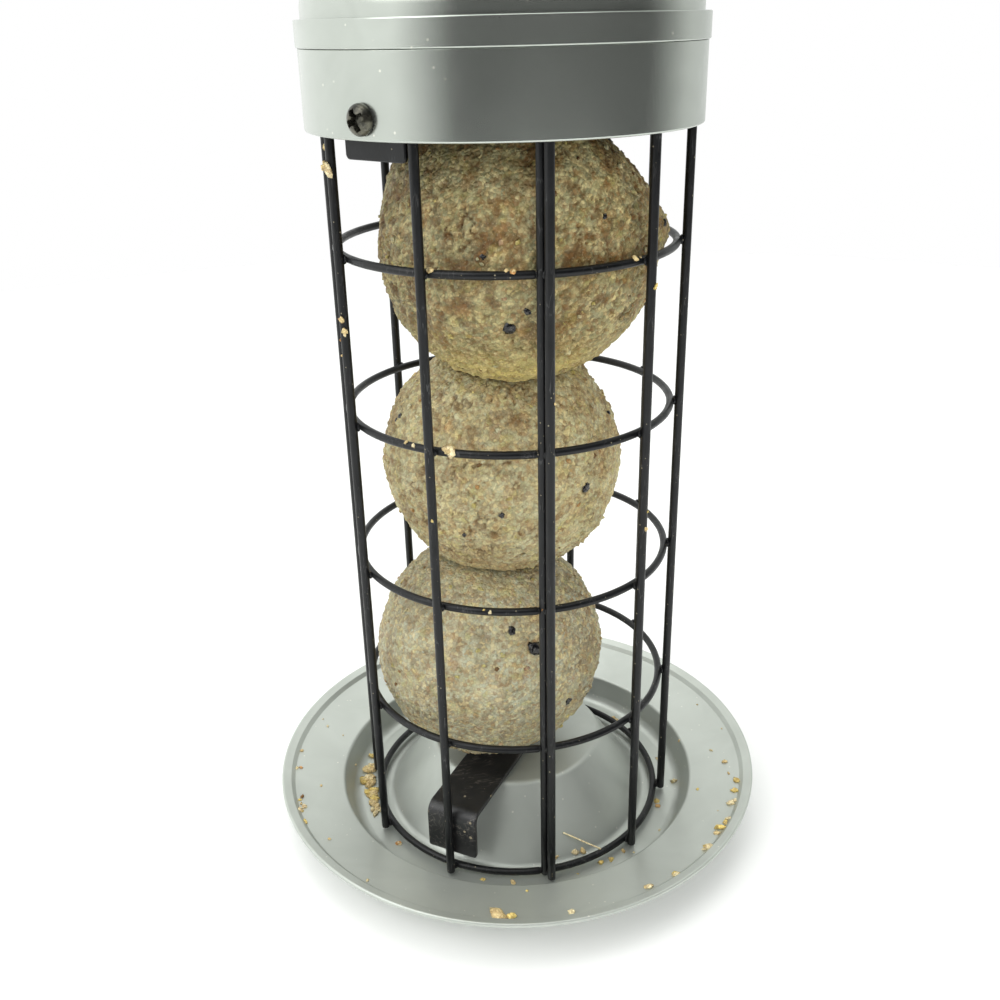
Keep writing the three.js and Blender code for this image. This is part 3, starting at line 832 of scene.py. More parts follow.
def tray_shell():
    """The tray: a profile of boss, trough, brim and lip, one wall thick, turned about Z."""
    boss_slope = slope(BOSS_EDGE, BOSS_END)
    wall_slope = slope(WALL_FOOT, BRIM_START)
    brim_slope = slope(BRIM_START, BRIM_END)
    profile = rounded([
        [TRAY_HOLE, BOSS_TOP - TRAY_WALL, 0.2],
        beneath(BOSS_EDGE, 0, boss_slope, 0.8),
        beneath(BOSS_END, boss_slope, 0, 0.5),
        beneath(WALL_FOOT, 0, wall_slope, 1.5),
        beneath(BRIM_START, wall_slope, brim_slope, 1.5),
        beneath(BRIM_END, brim_slope, brim_slope, 0),
        [TRAY_RADIUS, RIM_TOP - LIP_EDGE, 0.4],
        *tray_upper(),
    ])
    return make("tray_shell", *lathe(profile), PEWTER_SATIN)


def tray_height(radius):
    """The height of the tray's upper face at a radius between the boss's edge and the lip."""
    face = rounded(tray_upper())[::-1]
    outer = face[(face[:, 0] > BOSS_EDGE[0] + 2) & (face[:, 0] < LIP_INNER)]
    return np.interp(radius, outer[:, 0], outer[:, 1])


fit(tray_shell(), "pewter_plastic", "tray")


# Floor strap

def strap_strip():
    """The strap: a rounded rectangle carried along a path with two round bends; near both ends its width
    follows a quarter circle, which rounds the corners."""
    half = STRAP_THICKNESS / 2
    reach, top = STRAP_REACH - half, STRAP_TOP - half
    bend = STRAP_BEND + half
    sweep = quarter_turn(BEND_STEPS)
    corner = quarter_turn(CORNER_STEPS)
    leg_end = STRAP_END + STRAP_CORNER * (1 - np.cos(corner))
    bend_across = -reach + bend * (1 - np.cos(sweep))
    bend_up = top - bend * (1 - np.sin(sweep))
    first = np.stack([np.append(0 * leg_end - reach, bend_across), np.append(leg_end, bend_up)], axis=1)
    across = np.vstack([first, [[-TRAY_SCREW_HEAD, top], [TRAY_SCREW_HEAD, top]], first[::-1] * [-1, 1]])
    width = STRAP_WIDTH / 2
    narrow = np.ones((len(across), 1, 2))
    shares = np.stack([STRAP_CORNER / width + 0 * corner, STRAP_EDGE + 0 * corner], axis=1)
    narrow[:len(corner), 0] -= shares * (1 - np.sin(corner))[:, None]
    narrow[-len(corner):] = narrow[:len(corner)][::-1]
    section = rectangle(width, -half, half, STRAP_EDGE) * narrow
    path = point_at(STRAP_AZIMUTH, *across.T)
    strip = make("strap_strip", *carried(path, outward(STRAP_AZIMUTH + 90), section), STRAP_COAT)
    above = STRAP_TOP + DRILL_OVER
    drill(strip, UP * (above - DRILL_LENGTH), UP * above, TRAY_HOLE)
    return strip


fit(strap_strip(), "black_coat", "floor_strap")


# Screws and washer

def screw(head, head_height, shank, length):
    """A pan-head screw with its seat at the origin and its head along Z: circles of a profile, the shank's
    radius waved by its thread, the head a quarter ellipse lowered by a cross of two slots and a cone."""
    head_radius, shank_radius = head / 2, shank / 2
    turn = whole_turn(SCREW_STEPS)
    down = np.linspace(-length, -THREAD_END, THREAD_STEPS)
    thread_rows = np.stack([np.full_like(down, shank_radius), down], axis=1)
    rise = quarter_turn(CROWN_STEPS)[:-1]
    crown_height = head_height * (0.15 + 0.85 * np.sin(rise) ** 0.9)
    crown = np.stack([head_radius * np.cos(rise), crown_height], axis=1)
    under = [[shank_radius * 0.5, -length - 0.75 * SCREW_POINT]]
    seat = [[shank_radius, -0.02], [shank_radius + 0.02, 0.0], [head_radius - 0.15, 0.0], [head_radius, 0.12]]
    profile = np.vstack([under, thread_rows, seat, crown])
    level = profile[:, 1:]
    radius, height = profile[:, :1] + 0 * turn, level + 0 * turn
    tooth = np.abs((height / SCREW_PITCH + turn / (2 * np.pi)) % 1 - 0.5) * 2
    on_shank = (level < -0.3) & (level > -length - 0.1)
    radius = radius - on_shank * THREAD_DEPTH * tooth
    x, y = radius * np.cos(turn), radius * np.sin(turn)
    reach, half = RECESS_LENGTH / 2, RECESS_WIDTH / 2
    slot_x = np.minimum(half - np.abs(y), reach - np.abs(x))
    slot_y = np.minimum(half - np.abs(x), reach - np.abs(y))
    cone = RECESS_WIDTH - np.hypot(x, y)
    depth = RECESS_DEPTH * smooth(-0.12, 0.25, np.maximum(np.maximum(slot_x, slot_y), 0.5 * cone))
    on_face = level > head_height * 0.3
    points = np.stack([x, y, height - on_face * depth], axis=-1).reshape(-1, 3)
    ends = [UP * (-length - SCREW_POINT), UP * (head_height - RECESS_DEPTH)]
    return np.vstack([points, *ends]), poled(len(profile), SCREW_STEPS)


def screw_piece(name, place, axis, spin, *sizes):
    """A screw with its seat at a place and its head along an axis, turned about it by spin degrees."""
    points, faces = screw(*sizes)
    axes = standing(np.array([axis]), math.radians(spin))[0]
    return make(name, points @ axes + place, faces, DARK_STEEL)


for side, azimuth in TAB_AZIMUTH.items():
    seat = point_at(azimuth, SCREW_SEAT, SCREW_HEIGHT)
    sizes = (SCREW_HEAD, SCREW_HEAD_HEIGHT, SCREW_SHANK, SCREW_SEAT - SCREW_TIP - SCREW_POINT)
    pan = screw_piece(f"collar_pan_screw_{side}", seat, outward(azimuth), 24, *sizes)
    fit(pan, "dark_steel", f"collar_screw_{side}")

shank_length = STRAP_TOP - TRAY_SCREW_SEAT - SCREW_POINT
sizes = (TRAY_SCREW_HEAD, TRAY_SCREW_HEAD_HEIGHT, TRAY_SCREW_SHANK, shank_length)
pan = screw_piece("tray_pan_screw", TRAY_SCREW_SEAT * UP, -UP, 10, *sizes)
fit(pan, "dark_steel", "tray_screw")


def washer():
    """The washer: a flat ring with rounded edges."""
    return make("plain_washer", *lathe(rounded([
        [TRAY_HOLE, WASHER_BOTTOM, 0.15],
        [WASHER_EDGE, WASHER_BOTTOM, 0.3],
        [WASHER_EDGE, WASHER_TOP, 0.15],
        [TRAY_HOLE, WASHER_TOP, 0.15],
    ]), WASHER_STEPS), DARK_STEEL)


fit(washer(), "dark_steel", "tray_washer")


# Wire cage

def ring_wire(height):
    """A ring of wire, a circle that stops on both sides of the seam."""
    gap = math.degrees((UPRIGHT_WIRE / 2 + WELD_GAP) / CAGE_RADIUS)
    azimuth = np.linspace(gap - SEAM_TURN, 360 - gap - SEAM_TURN, RING_STEPS)
    return wire(point_at(azimuth, CAGE_RADIUS, height), UP, RING_WIRE)


def upright_wire(radius, azimuth):
    """An upright: a straight wire at a radius and an azimuth."""
    path = point_at(azimuth, radius, np.linspace(*UPRIGHT_ENDS, UPRIGHT_STEPS))
    return wire(path, outward(azimuth), UPRIGHT_WIRE)


for i, height in enumerate(RING_HEIGHTS):
    fit(make(f"ring_wire_{i + 1}", *ring_wire(height), BLACK_COAT), "black_coat", f"cage_ring_{i + 1}")

for i, azimuth in enumerate(UPRIGHT_AZIMUTHS):
    straight = upright_wire(UPRIGHT_RADIUS, azimuth)
    fit(make(f"upright_wire_{i + 1}", *straight, BLACK_COAT), "black_coat", f"upright_{i + 1}")
straight = upright_wire(CAGE_RADIUS, -SEAM_TURN)
fit(make("seam_wire", *straight, BLACK_COAT), "black_coat", "seam_upright")


def weld_beads():
    """Coated weld beads: flattened blobs where each ring meets each upright, and at the seam."""
    azimuth, height = (grid.ravel() for grid in np.meshgrid(UPRIGHT_AZIMUTHS, RING_HEIGHTS))
    gap = math.degrees((UPRIGHT_WIRE / 2 + WELD_GAP / 2) / CAGE_RADIUS)
    seam_azimuth = np.repeat([gap - SEAM_TURN, -gap - SEAM_TURN], RING_COUNT)
    cross = point_at(azimuth, CAGE_RADIUS + RING_WIRE / 2 + WELD_GAP / 2, height)
    seam = point_at(seam_azimuth, CAGE_RADIUS, np.tile(RING_HEIGHTS, 2))
    normals = outward(np.append(azimuth, seam_azimuth))
    up = np.tile(UP, (len(normals), 1))
    axes = np.stack([np.cross(up, normals), up, normals], axis=1)
    sizes = np.repeat([CROSS_BEAD, SEAM_BEAD], [len(cross), len(seam)], axis=0)
    beads = lumps(np.vstack([cross, seam]), sizes, axes, np.random.default_rng(5), 0.06, 7, 14)
    return make("weld_beads", *beads, BLACK_COAT, sharp=False)


fit(weld_beads(), "black_coat")


# Tabs, collar, lid and bail

def tab_plate(side, azimuth):
    """A tab: round-cornered outlines, the first and last a little smaller, joined through the thickness."""
    rows = []
    for depth, inset in (
        (TAB_INNER, TAB_SOFT),
        (TAB_INNER + TAB_SOFT, 0),
        (TAB_OUTER - TAB_SOFT, 0),
        (TAB_OUTER, TAB_SOFT),
    ):
        outline = rectangle(TAB_WIDTH / 2 - inset, TAB_BOTTOM + inset, TAB_TOP - inset, TAB_CORNER - inset)
        rows.append(point_at(azimuth + 90, *outline.T) + depth * outward(azimuth))
    plate = make(f"tab_plate_{side}", np.vstack(rows), capped(len(rows), len(rows[0])), BLACK_COAT)
    for height, diameter in ((SCREW_HEIGHT, SCREW_SHANK), (HOOK_HEIGHT, BAIL_WIRE)):
        drill_out(plate, azimuth, TAB_INNER, height, diameter)
    return plate


for side, azimuth in TAB_AZIMUTH.items():
    fit(tab_plate(side, azimuth), "black_coat", f"collar_tab_{side}")


def collar_band():
    """The collar: a turned profile of skirt, flange and neck, drilled for its two screws."""
    band = make("collar_band", *lathe(rounded([
        [COLLAR_BORE, COLLAR_BOTTOM, 0.3],
        [COLLAR_OUTER, COLLAR_BOTTOM, 0.5],
        [COLLAR_OUTER, COLLAR_TOP, 0.15],
        [NECK_OUTER, COLLAR_TOP, 0.3],
        [NECK_OUTER, NECK_TOP, 0.4],
        [NECK_INNER, NECK_TOP, 0.4],
        [NECK_INNER, COLLAR_TOP, 0.3],
        [FLANGE_INNER, COLLAR_TOP, 0.3],
        [FLANGE_INNER, FLANGE_BOTTOM, 0.3],
        [COLLAR_BORE, FLANGE_BOTTOM, 0.4],
    ])), PEWTER)
    for azimuth in TAB_AZIMUTH.values():
        drill_out(band, azimuth, COLLAR_BORE, SCREW_HEIGHT, SCREW_SHANK)
    return band


fit(collar_band(), "pewter_plastic", "collar")


def lid_shell():
    """The lid: a turned profile of inner dome, ledge, band, drum and outer dome, drilled for the bail."""
    inner = ellipse((0, DRUM_TOP), (DRUM_INNER, DOME_RISE - LID_WALL), 90, 0, BOWL_STEPS)
    outer = ellipse((0, DRUM_TOP), (DRUM_OUTER, DOME_RISE), 0, 90, BOWL_STEPS)
    inner[0][0] = outer[-1][0] = 0
    shell = make("lid_shell", *lathe(rounded([
        *inner,
        [DRUM_INNER, LID_LEDGE, 0.3],
        [LID_BAND_INNER, LID_LEDGE, 0.2],
        [LID_BAND_INNER, LID_BAND_BOTTOM, 0.3],
        [LID_BAND_OUTER, LID_BAND_BOTTOM, 0.35],
        [LID_BAND_OUTER, LID_BAND_TOP, 0.35],
        [DRUM_OUTER + LID_GROOVE, LID_BAND_TOP, 0.12],
        [DRUM_OUTER + LID_GROOVE, LID_BAND_TOP - LID_GROOVE, 0.1],
        [DRUM_OUTER, LID_BAND_TOP - LID_GROOVE, 0.1],
        *outer,
    ])), PEWTER)
    for azimuth in TAB_AZIMUTH.values():
        below = point_at(azimuth, BAIL_RADIUS, DRUM_TOP)
        drill(shell, below, below + 2 * DOME_RISE * UP, LID_HOLE)
    return shell


fit(lid_shell(), "pewter_plastic", "lid", body="lid")


def bail_wire():
    """The bail: a wire bent round the top ring into each tab, straight up through the lid, and over in a
    half circle."""
    hook = quarter_turn(BEND_STEPS)
    rise = np.linspace(HOOK_HEIGHT + HOOK_BEND, BAIL_SHOULDER, LEG_STEPS)[1:]
    start = [[TAB_OUTER, HOOK_HEIGHT]]
    bend = [BAIL_RADIUS, HOOK_HEIGHT] + HOOK_BEND * (1 - np.stack([np.sin(hook), np.cos(hook)], axis=1))
    leg = np.stack([np.full_like(rise, BAIL_RADIUS), rise], axis=1)
    half = np.vstack([start, bend, leg])
    arch = np.linspace(0, np.pi, ARCH_STEPS + 1)[1:-1]
    over = [0, BAIL_SHOULDER] + BAIL_RADIUS * np.stack([np.cos(arch), np.sin(arch)], axis=1)
    across = np.vstack([half, over, half[::-1] * [-1, 1]])
    azimuth = TAB_AZIMUTH["left"]
    path = point_at(azimuth, *across.T)
    return make("bail_wire", *wire(path, outward(azimuth + 90), BAIL_WIRE), BLACK_COAT)


fit(bail_wire(), "black_coat", "bail")


# Fat balls

TAN = tint(222, 200, 148)
OAT = tint(240, 226, 184)
CORN = tint(230, 206, 124)
RUST = tint(204, 150, 92)
ROSE = tint(206, 160, 126)
BARK = tint(122, 84, 44)
STAIN = tint(150, 110, 56)
PIT = tint(86, 56, 22)
FAT = tint(204, 188, 112)
BALL_NAMES = ("bottom", "middle", "top")
# Colour scales of the balls. The top ball's is darker partly because its meal is browner and partly as
# painted shade, the shade that the collar casts on it.
BALL_TINTS = {"bottom": (0.59, 0.71, 0.85), "middle": (0.74, 0.85, 0.88), "top": (0.45, 0.51, 0.45)}
BALL_STAINS = {"bottom": 0.35, "middle": 0.65, "top": 1.3}  # how brown and pitted each one is
BALL_SHOULDERS = {"top": ((79, 47, 3.2),)}  # flattened shoulders: azimuth, height angle and depth
# Broken, bulging and fatty places: azimuth, height angle, how many degrees wide and high, and strength
BALL_SCARS = {
    "top": ((-9, 7, 5, 8, 1), (8, 3, 7, 5, 1), (33, -1, 13, 4, 1), (-34, -3, 7, 5, 0.8), (140, 5, 20, 6, 1)),
    "middle": ((-4, 37, 12, 5, 1), (170, -10, 16, 7, 1)),
}
BALL_BULGES = {"top": ((80, 3, 13, 10, 2.2), (-100, 8, 34, 28, -1.5))}
BALL_FATS = {
    "top": ((-15, -54, 70, 16, 0.85), (165, -52, 60, 12, 0.5)),
    "middle": ((150, 50, 40, 10, 0.4),),
}
BALL_SEEDS = {"bottom": 11, "middle": 41, "top": 71}  # first number of each one's noise


def ball_place(name):
    """A ball's centre and radius, from its CAD solid, whose free pole isn't flattened."""
    low, high = node_box(f"fat_ball_{name}")
    radius = (high[0] - low[0]) / 2
    centre = (low + high) / 2
    if name == "bottom":
        centre[2] = low[2] + radius
    if name == "top":
        centre[2] = high[2] - radius
    return centre, radius


BALLS = {name: ball_place(name) for name in BALL_NAMES}


def pressed_flats(name):
    """For each neighbour of a ball: the direction to it, and how far away the flat between the two lies."""
    centre, radius = BALLS[name]
    at = BALL_NAMES.index(name)
    flats = []
    for other in BALL_NAMES[max(at - 1, 0):at] + BALL_NAMES[at + 1:at + 2]:
        gap = BALLS[other][0] - centre
        distance = np.linalg.norm(gap)
        flats.append((gap / distance, (distance + radius - BALLS[other][1]) / 2))
    return flats


def bent_places(points, seed):
    """Points pushed about by soft noise, so that grains and pits laid out on them get ragged borders."""
    push = [cloud(points, 2.6, seed + k) + 0.5 * cloud(points, 1.2, seed + 3 + k) for k in range(3)]
    return points + 0.8 * np.stack(push, axis=1)


def drawn_out(points, azimuth, level):
    """Points pressed together along a slanting direction, so that grains laid out on them are long."""
    way = aimed(azimuth, level)
    return points - 0.55 * (points @ way)[:, None] * way


def meal_grains(points, seed):
    """Two sizes of grains with ragged borders: each point's grain numbers and its ways to the next grains.
    The small ones are long flakes, which lie one way in some patches and another way in the others."""
    bent = bent_places(points, seed + 30)
    kind, border = grains(bent, 2.6, seed)
    level_flakes = grains(drawn_out(bent, 70, 20), 1.5, seed + 20)
    steep_flakes = grains(drawn_out(bent, -25, -50), 1.5, seed + 24)
    patch = cloud(points, 8, seed + 28) > 0
    flake, flake_border = (np.where(patch, *pair) for pair in zip(level_flakes, steep_flakes))
    return bent, kind, border, flake, flake_border


def meal_colours(points, seed, parts, colour_scale, stains):
    """Colours of pressed meal: a tan ground that drifts with wide and fine noise, brown stains, grains of
    other kinds chosen by their number, flakes of uneven brightness, and darker lines between grains."""
    _, kind, border, flake, flake_border = parts
    drift = 0.6 * cloud(points, 9, seed + 4) + 0.5 * cloud(points, 2.6, seed + 5)
    share = smooth(-0.8, 0.9, drift / (1.6 - 0.6 * stains))[:, None]
    colour = TAN * 0.86 * (1 - share) + (0.5 * OAT + 0.5 * TAN) * share
    patch = cloud(points, 11, seed + 15) + 0.8 * cloud(points, 4.5, seed + 16)
    colour = colour + (STAIN - colour) * 0.7 * stains * smooth(-0.1, 0.9, patch)[:, None]
    orange = cloud(points, 5, seed + 17) + 0.4 * cloud(points, 2, seed + 18)
    colour = colour + (RUST - colour) * 0.5 * stains * smooth(0.5, 0.85, orange)[:, None]
    brown = 0.3 + 0.3 * stains
    for number, edge, low, high, grain, strength in (
        (kind, border, 0.0, 0.07, RUST, 0.45),
        (kind, border, 0.07, 0.16, CORN, 0.3),
        (kind, border, 0.16, 0.26, ROSE, 0.2),
        (kind, border, 0.26, 0.36, OAT, 0.35),
        (kind, border, 0.92, 1.0, BARK, brown),
        (flake, flake_border, 0.0, 0.12, OAT, 0.5),
        (flake, flake_border, 0.12, 0.2, CORN, 0.45),
        (flake, flake_border, 0.2, 0.28, ROSE, 0.3),
        (flake, flake_border, 0.86, 1.0, BARK, brown),
    ):
        chosen = ((number >= low) & (number < high)) * smooth(0.0, 0.12, edge)
        colour = colour + (grain - colour) * strength * chosen[:, None]
    depth = 0.08 + 0.19 * stains
    shade = 1 - depth * (1 - smooth(0.0, 0.14, border))
    shade = shade * (1 - depth * (1 - smooth(0.0, 0.16, flake_border))) * (1 + 1.3 * depth * (flake - 0.5))
    colour[:, :3] *= shade[:, None] * np.array(colour_scale)
    return colour


def meal_relief(points, seed, parts, stains):
    """How far meal stands out, and how deep its pits are: wide lumps, domed grains and flakes that stand at
    uneven heights, fine crumbs, and ragged pits, most of them in the rough patches."""
    bent, kind, border, flake, flake_border = parts
    rough = smooth(-0.3, 0.4, cloud(points, 17, seed + 6))
    lump = 0.5 * cloud(points, 15, seed + 7) + 0.35 * cloud(points, 6, seed + 8)
    dome = (0.28 + 0.3 * kind) * smooth(0, 0.4, border) + (0.12 + 0.24 * flake) * smooth(0, 0.4, flake_border)
    fine = 0.16 * cloud(points, 1.1, seed + 9)
    hollow = cloud(drawn_out(bent, 60, 10), 2.2, seed + 12) + 0.5 * cloud(bent, 1.0, seed + 14)
    groove = smooth(0.15, 0.02, np.abs(hollow)) * smooth(0.0, 0.35, cloud(points, 3.4, seed + 13))
    pits = np.maximum(groove, 0.8 * smooth(0.5, 0.8, hollow))
    pits = pits * (0.5 + 0.5 * rough) * min(1, 0.25 + 0.65 * stains)
    return lump + (dome + fine) * (0.65 + 0.6 * rough) - 0.8 * pits - 0.35, pits, rough


def shoulders(name):
    """The direction of each flat shoulder of a ball, and how far from its centre the flat lies."""
    radius = BALLS[name][1]
    flattened = BALL_SHOULDERS.get(name, ())
    return [(aimed(azimuth, level), radius - depth) for azimuth, level, depth in flattened]


def pressed(points, centre, flats, soft):
    """Points pushed back to flats, with a bend of a soft width: the push grows with the square of the way
    into the bend, and past it is the whole way."""
    for way, distance in flats:
        past = (points - centre) @ way - distance + 0.12
        bend = np.where(past > -soft, (past + soft) ** 2 / (4 * soft), 0)
        points = points - np.where(past > soft, past, bend)[:, None] * way
    return points


def bells(ways, places):
    """The sum of bell curves round given places of a ball."""
    azimuth = np.degrees(np.arctan2(ways[:, 0], -ways[:, 1]))
    level = np.degrees(np.arcsin(np.clip(ways[:, 2], -1, 1)))
    total = np.zeros(len(ways))
    for at, height, wide, high, strength in places:
        across = (azimuth - at + 180) % 360 - 180
        total += strength * np.exp(-((across / wide) ** 2) - ((level - height) / high) ** 2)
    return total


def ball_skin(name, ways):
    """Points of a ball before its relief: a sphere with bulges, pressed back to its flat shoulders."""
    centre, radius = BALLS[name]
    bulge = bells(ways, BALL_BULGES.get(name, ()))
    return pressed(centre + (radius + bulge)[:, None] * ways, centre, shoulders(name), 7)


def fat_ball(name):
    """A fat ball: a sphere's grid laid on the ball's skin, each point moved along its radius by the meal's
    relief, then pressed back to the flats it shares with its neighbours. Broken places are lower and
    brown, fatty ones yellow."""
    centre, _ = BALLS[name]
    seed, stains = BALL_SEEDS[name], BALL_STAINS[name]
    ways = sphere(BALL_ROWS, BALL_COLUMNS)
    skin = ball_skin(name, ways)
    parts = meal_grains(skin, seed)
    relief, pits, rough = meal_relief(skin, seed, parts, stains)
    ragged = smooth(-0.5, 0.4, cloud(skin, 3.2, seed + 50) + 0.6 * cloud(skin, 1.4, seed + 51))
    scar = bells(ways, BALL_SCARS.get(name, ())) * ragged
    points = pressed(skin + (relief - 0.5 * scar)[:, None] * ways, centre, pressed_flats(name), 2)
    # the ball's colour scale, which on the top ball holds painted shade
    colours = meal_colours(skin, seed, parts, BALL_TINTS[name], stains)
    hollow = np.maximum(smooth(0.05, 0.7, pits), np.minimum(0.95 * scar, 1))
    colours += (PIT - colours) * 0.8 * hollow[:, None]
    colours[:, :3] *= 1 - 0.1 * rough[:, None]
    fat = np.minimum(bells(ways, BALL_FATS.get(name, ())) * (0.7 + 0.3 * ragged), 1)
    flake = parts[3][:, None]
    colours += (FAT * (0.75 + 0.5 * flake) - colours) * fat[:, None]
    return make(f"ball_{name}", points, poled(BALL_ROWS, BALL_COLUMNS), MEAL, colours, sharp=False)


for name in BALL_NAMES:
    fit(fat_ball(name), "fat_and_seed", f"fat_ball_{name}")


def squeezed_fat():
    """Fat squeezed out between the middle and the top ball: an ellipse carried round their shared flat, its
    size following soft noise, its skin the meal's and a few folds along it. The folds' ridges are painted
    lighter and their grooves darker: painted light and shade."""
    centre, radius = BALLS["middle"]
    up, distance = pressed_flats("middle")[1]
    reach = math.sqrt(radius**2 - distance**2)
    turn = whole_turn(FAT_STEPS)[:, None]
    first = unit(np.cross(up, [0.0, 1.0, 0.0]))
    spoke = np.cos(turn) * first + np.sin(turn) * np.cross(up, first)
    ring = centre + (distance + 1.5) * up + (reach + 0.9) * spoke
    swell = 1 + 0.5 * cloud(ring, 9, 91) + 0.35 * cloud(ring, 3, 92)
    around = whole_turn(FAT_SIDES)[:, None]
    section = 1.7 * np.cos(around) * spoke[:, None] + 1.6 * np.sin(around) * up
    points = (ring[:, None] + swell[:, None, None] * section).reshape(-1, 3)
    parts = meal_grains(points, 95)
    relief = meal_relief(points, 95, parts, 0.5)[0]
    way = unit(section).reshape(-1, 3)
    # the top ball's colour scale, with its painted shade
    colours = meal_colours(points, 95, parts, BALL_TINTS["top"], 0.3)
    fold_and_shade = np.cos(7 * (around[:, 0] + 0.3 * cloud(ring, 6, 93)[:, None])).ravel()
    # painted light and shade: the folds' ridges lighter and their grooves darker
    colours = (0.5 * colours + 0.5 * CORN) * (1 + 0.16 * fold_and_shade[:, None])
    points = points + (0.5 * relief + 0.22 * fold_and_shade)[:, None] * way
    faces = [quads(FAT_STEPS, FAT_SIDES, looped=True)]
    return make("squeezed_fat", points, faces, MEAL, colours, sharp=False)


fit(squeezed_fat(), "fat_and_seed")


# Crumbs and seeds

CRUMBS_ON_BALL = 300
STREWN_SEEDS = 7
STREWN_CRUMBS = 30


def crumb_colours(sizes, corners, rng, colour_scale):
    """One colour for each crumb, drawn from the meal's kinds, the pale ones only if it is big, and a little
    uneven from corner to corner."""
    kinds = np.array([OAT, TAN, CORN, RUST, ROSE, BARK])
    drawn = rng.choice(len(kinds), len(sizes), p=[0.3, 0.3, 0.24, 0.07, 0.06, 0.03])
    drawn = np.where(sizes > 1.1, drawn % 3, drawn)
    count = len(sizes)
    shade = rng.uniform(0.85, 1.05, (count, 1, 1)) * rng.uniform(0.7, 1.08, (count, corners, 1))
    return (kinds[drawn][:, None] * shade).reshape(-1, 4) * [*colour_scale, 1]


def crumb_piece(name, places, normals, sizes, rng, colour_scale=(1.16, 1.14, 1.1)):
    """Ragged crumbs and flakes of given half lengths that lie on a surface, sunk by a third. The bigger they
    are, the flatter."""
    radii = sizes[:, None] * rng.uniform([0.85, 0.55, 0.4], [1.3, 1.0, 0.8], (len(sizes), 3))
    radii[:, 2] /= 0.8 + 0.4 * sizes
    lifted = places + normals * radii[:, 2:] * 0.35
    points, faces = lumps(lifted, radii, strewn_axes(normals, rng), rng, 0.4, 5, 9)
    colours = crumb_colours(sizes, len(points) // len(sizes), rng, colour_scale)
    return make(name, points, faces, MEAL, colours, sharp=False)


def on_ball(name, ways):
    """The points a tenth of a millimetre under a ball's relief, in given directions from its centre."""
    seed = BALL_SEEDS[name]
    skin = ball_skin(name, ways)
    relief = meal_relief(skin, seed, meal_grains(skin, seed), BALL_STAINS[name])[0]
    return skin + (relief - 0.1)[:, None] * ways


def ball_crumbs(name):
    """Loose crumbs on a ball, evenly strewn where no neighbour touches it."""
    radius = BALLS[name][1]
    rng = np.random.default_rng(BALL_SEEDS[name])
    ways = unit(rng.normal(size=(CRUMBS_ON_BALL, 3)))
    free = np.ones(len(ways), bool)
    for way, distance in pressed_flats(name):
        free &= ways @ way < distance / radius - 0.04
    ways = ways[free]
    sizes = rng.uniform(0.3, 0.8, len(ways))
    # crumbs take their ball's colour scale, with the top ball's painted shade
    colour_scale = 0.8 * np.array(BALL_TINTS[name]) + 0.16
    return crumb_piece(f"ball_crumbs_{name}", on_ball(name, ways), ways, sizes, rng, colour_scale)


for name in BALL_NAMES:
    fit(ball_crumbs(name), "fat_and_seed")

# Dark seeds on the balls: azimuth and height angle from the ball's centre, length
SEEDS = {
    "top": ((-15, -24.5, 3.8), (-24, 4, 2.0), (-8, -17, 2.0), (23, 15, 1.4)),
    "middle": ((-11.6, -7, 2.2), (30.5, 0, 2.9), (-30, -20, 1.6), (67, 25, 1.8), (-80, 26, 1.6)),
    "bottom": ((4, 35, 2.8), (14.5, 25, 4.4), (33.5, -12, 3.6)),
}


def dark_seeds():
    """Dark seeds pressed into the balls: long blobs that lie flat on the ball, half sunk. Those at the back
    are strewn."""
    rng = np.random.default_rng(17)
    ways, places, lengths = [], [], []
    for name, seeds in SEEDS.items():
        strewn = rng.uniform([60, -45, 1.2], [300, 45, 3.0], (STREWN_SEEDS, 3))
        azimuth, level, length = np.vstack([seeds, strewn]).T
        ways.append(aimed(azimuth, level))
        places.append(on_ball(name, ways[-1]))
        lengths.append(length[:, None])
    ways, places, lengths = (np.vstack(part) for part in (ways, places, lengths))
    sizes = lengths * [0.5, 0.4, 0.24]
    seeds = lumps(places, sizes, strewn_axes(ways, rng), rng, 0.26, 6, 10)
    return make("dark_seeds", *seeds, SEED_HULL, sharp=False)


fit(dark_seeds(), "fat_and_seed")

# Crumbs on the tray: azimuth and radius, how many lie together, half length
TRAY_CRUMBS = (
    (-117, 51, 4, 1.4), (-109, 49.8, 5, 1.7), (-101, 49, 6, 1.8), (-94, 48.2, 6, 1.7), (-87, 47.6, 5, 1.6),
    (-81, 47.2, 3, 1.3),
    (-62, 46.6, 2, 0.9), (-24, 46.4, 1, 0.8), (-13, 46.6, 1, 0.7), (22, 47.3, 2, 0.9), (31, 47.5, 2, 0.8),
    (65, 46.6, 2, 1.0), (76, 51.8, 1, 1.2), (6, 39, 2, 1.3), (12, 39.2, 3, 1.4), (17, 39.8, 2, 1.2),
    (-103, 71, 1, 0.6), (-95, 71, 2, 0.7), (-83, 71, 3, 0.7), (-78, 71.2, 3, 0.9), (-74, 71.2, 2, 0.7),
    (-66, 68, 1, 0.6), (-15.6, 70, 1, 3.0), (-12.8, 70.6, 1, 1.3), (0.5, 70.8, 1, 1.2), (18, 70.6, 2, 0.9),
    (26, 70.8, 2, 1.2), (39, 71, 2, 1.2), (45, 70.6, 1, 1.0), (49, 71, 2, 1.5), (53, 71, 2, 1.3),
    (58, 71.2, 1, 1.0), (62, 70.4, 1, 1.5), (66, 70.8, 1, 1.3), (74, 67.4, 1, 0.9), (80, 64, 1, 0.5),
    (120, 48, 5, 1.1), (150, 71, 3, 0.9), (175, 48, 5, 1.0), (-150, 50, 4, 1.0), (-170, 71, 3, 0.8),
)


def repeated(crumbs):
    """A table of crumbs with each row as often as its third number says."""
    rows = np.array(crumbs, float)
    return np.repeat(rows, rows[:, 2].astype(int), axis=0)


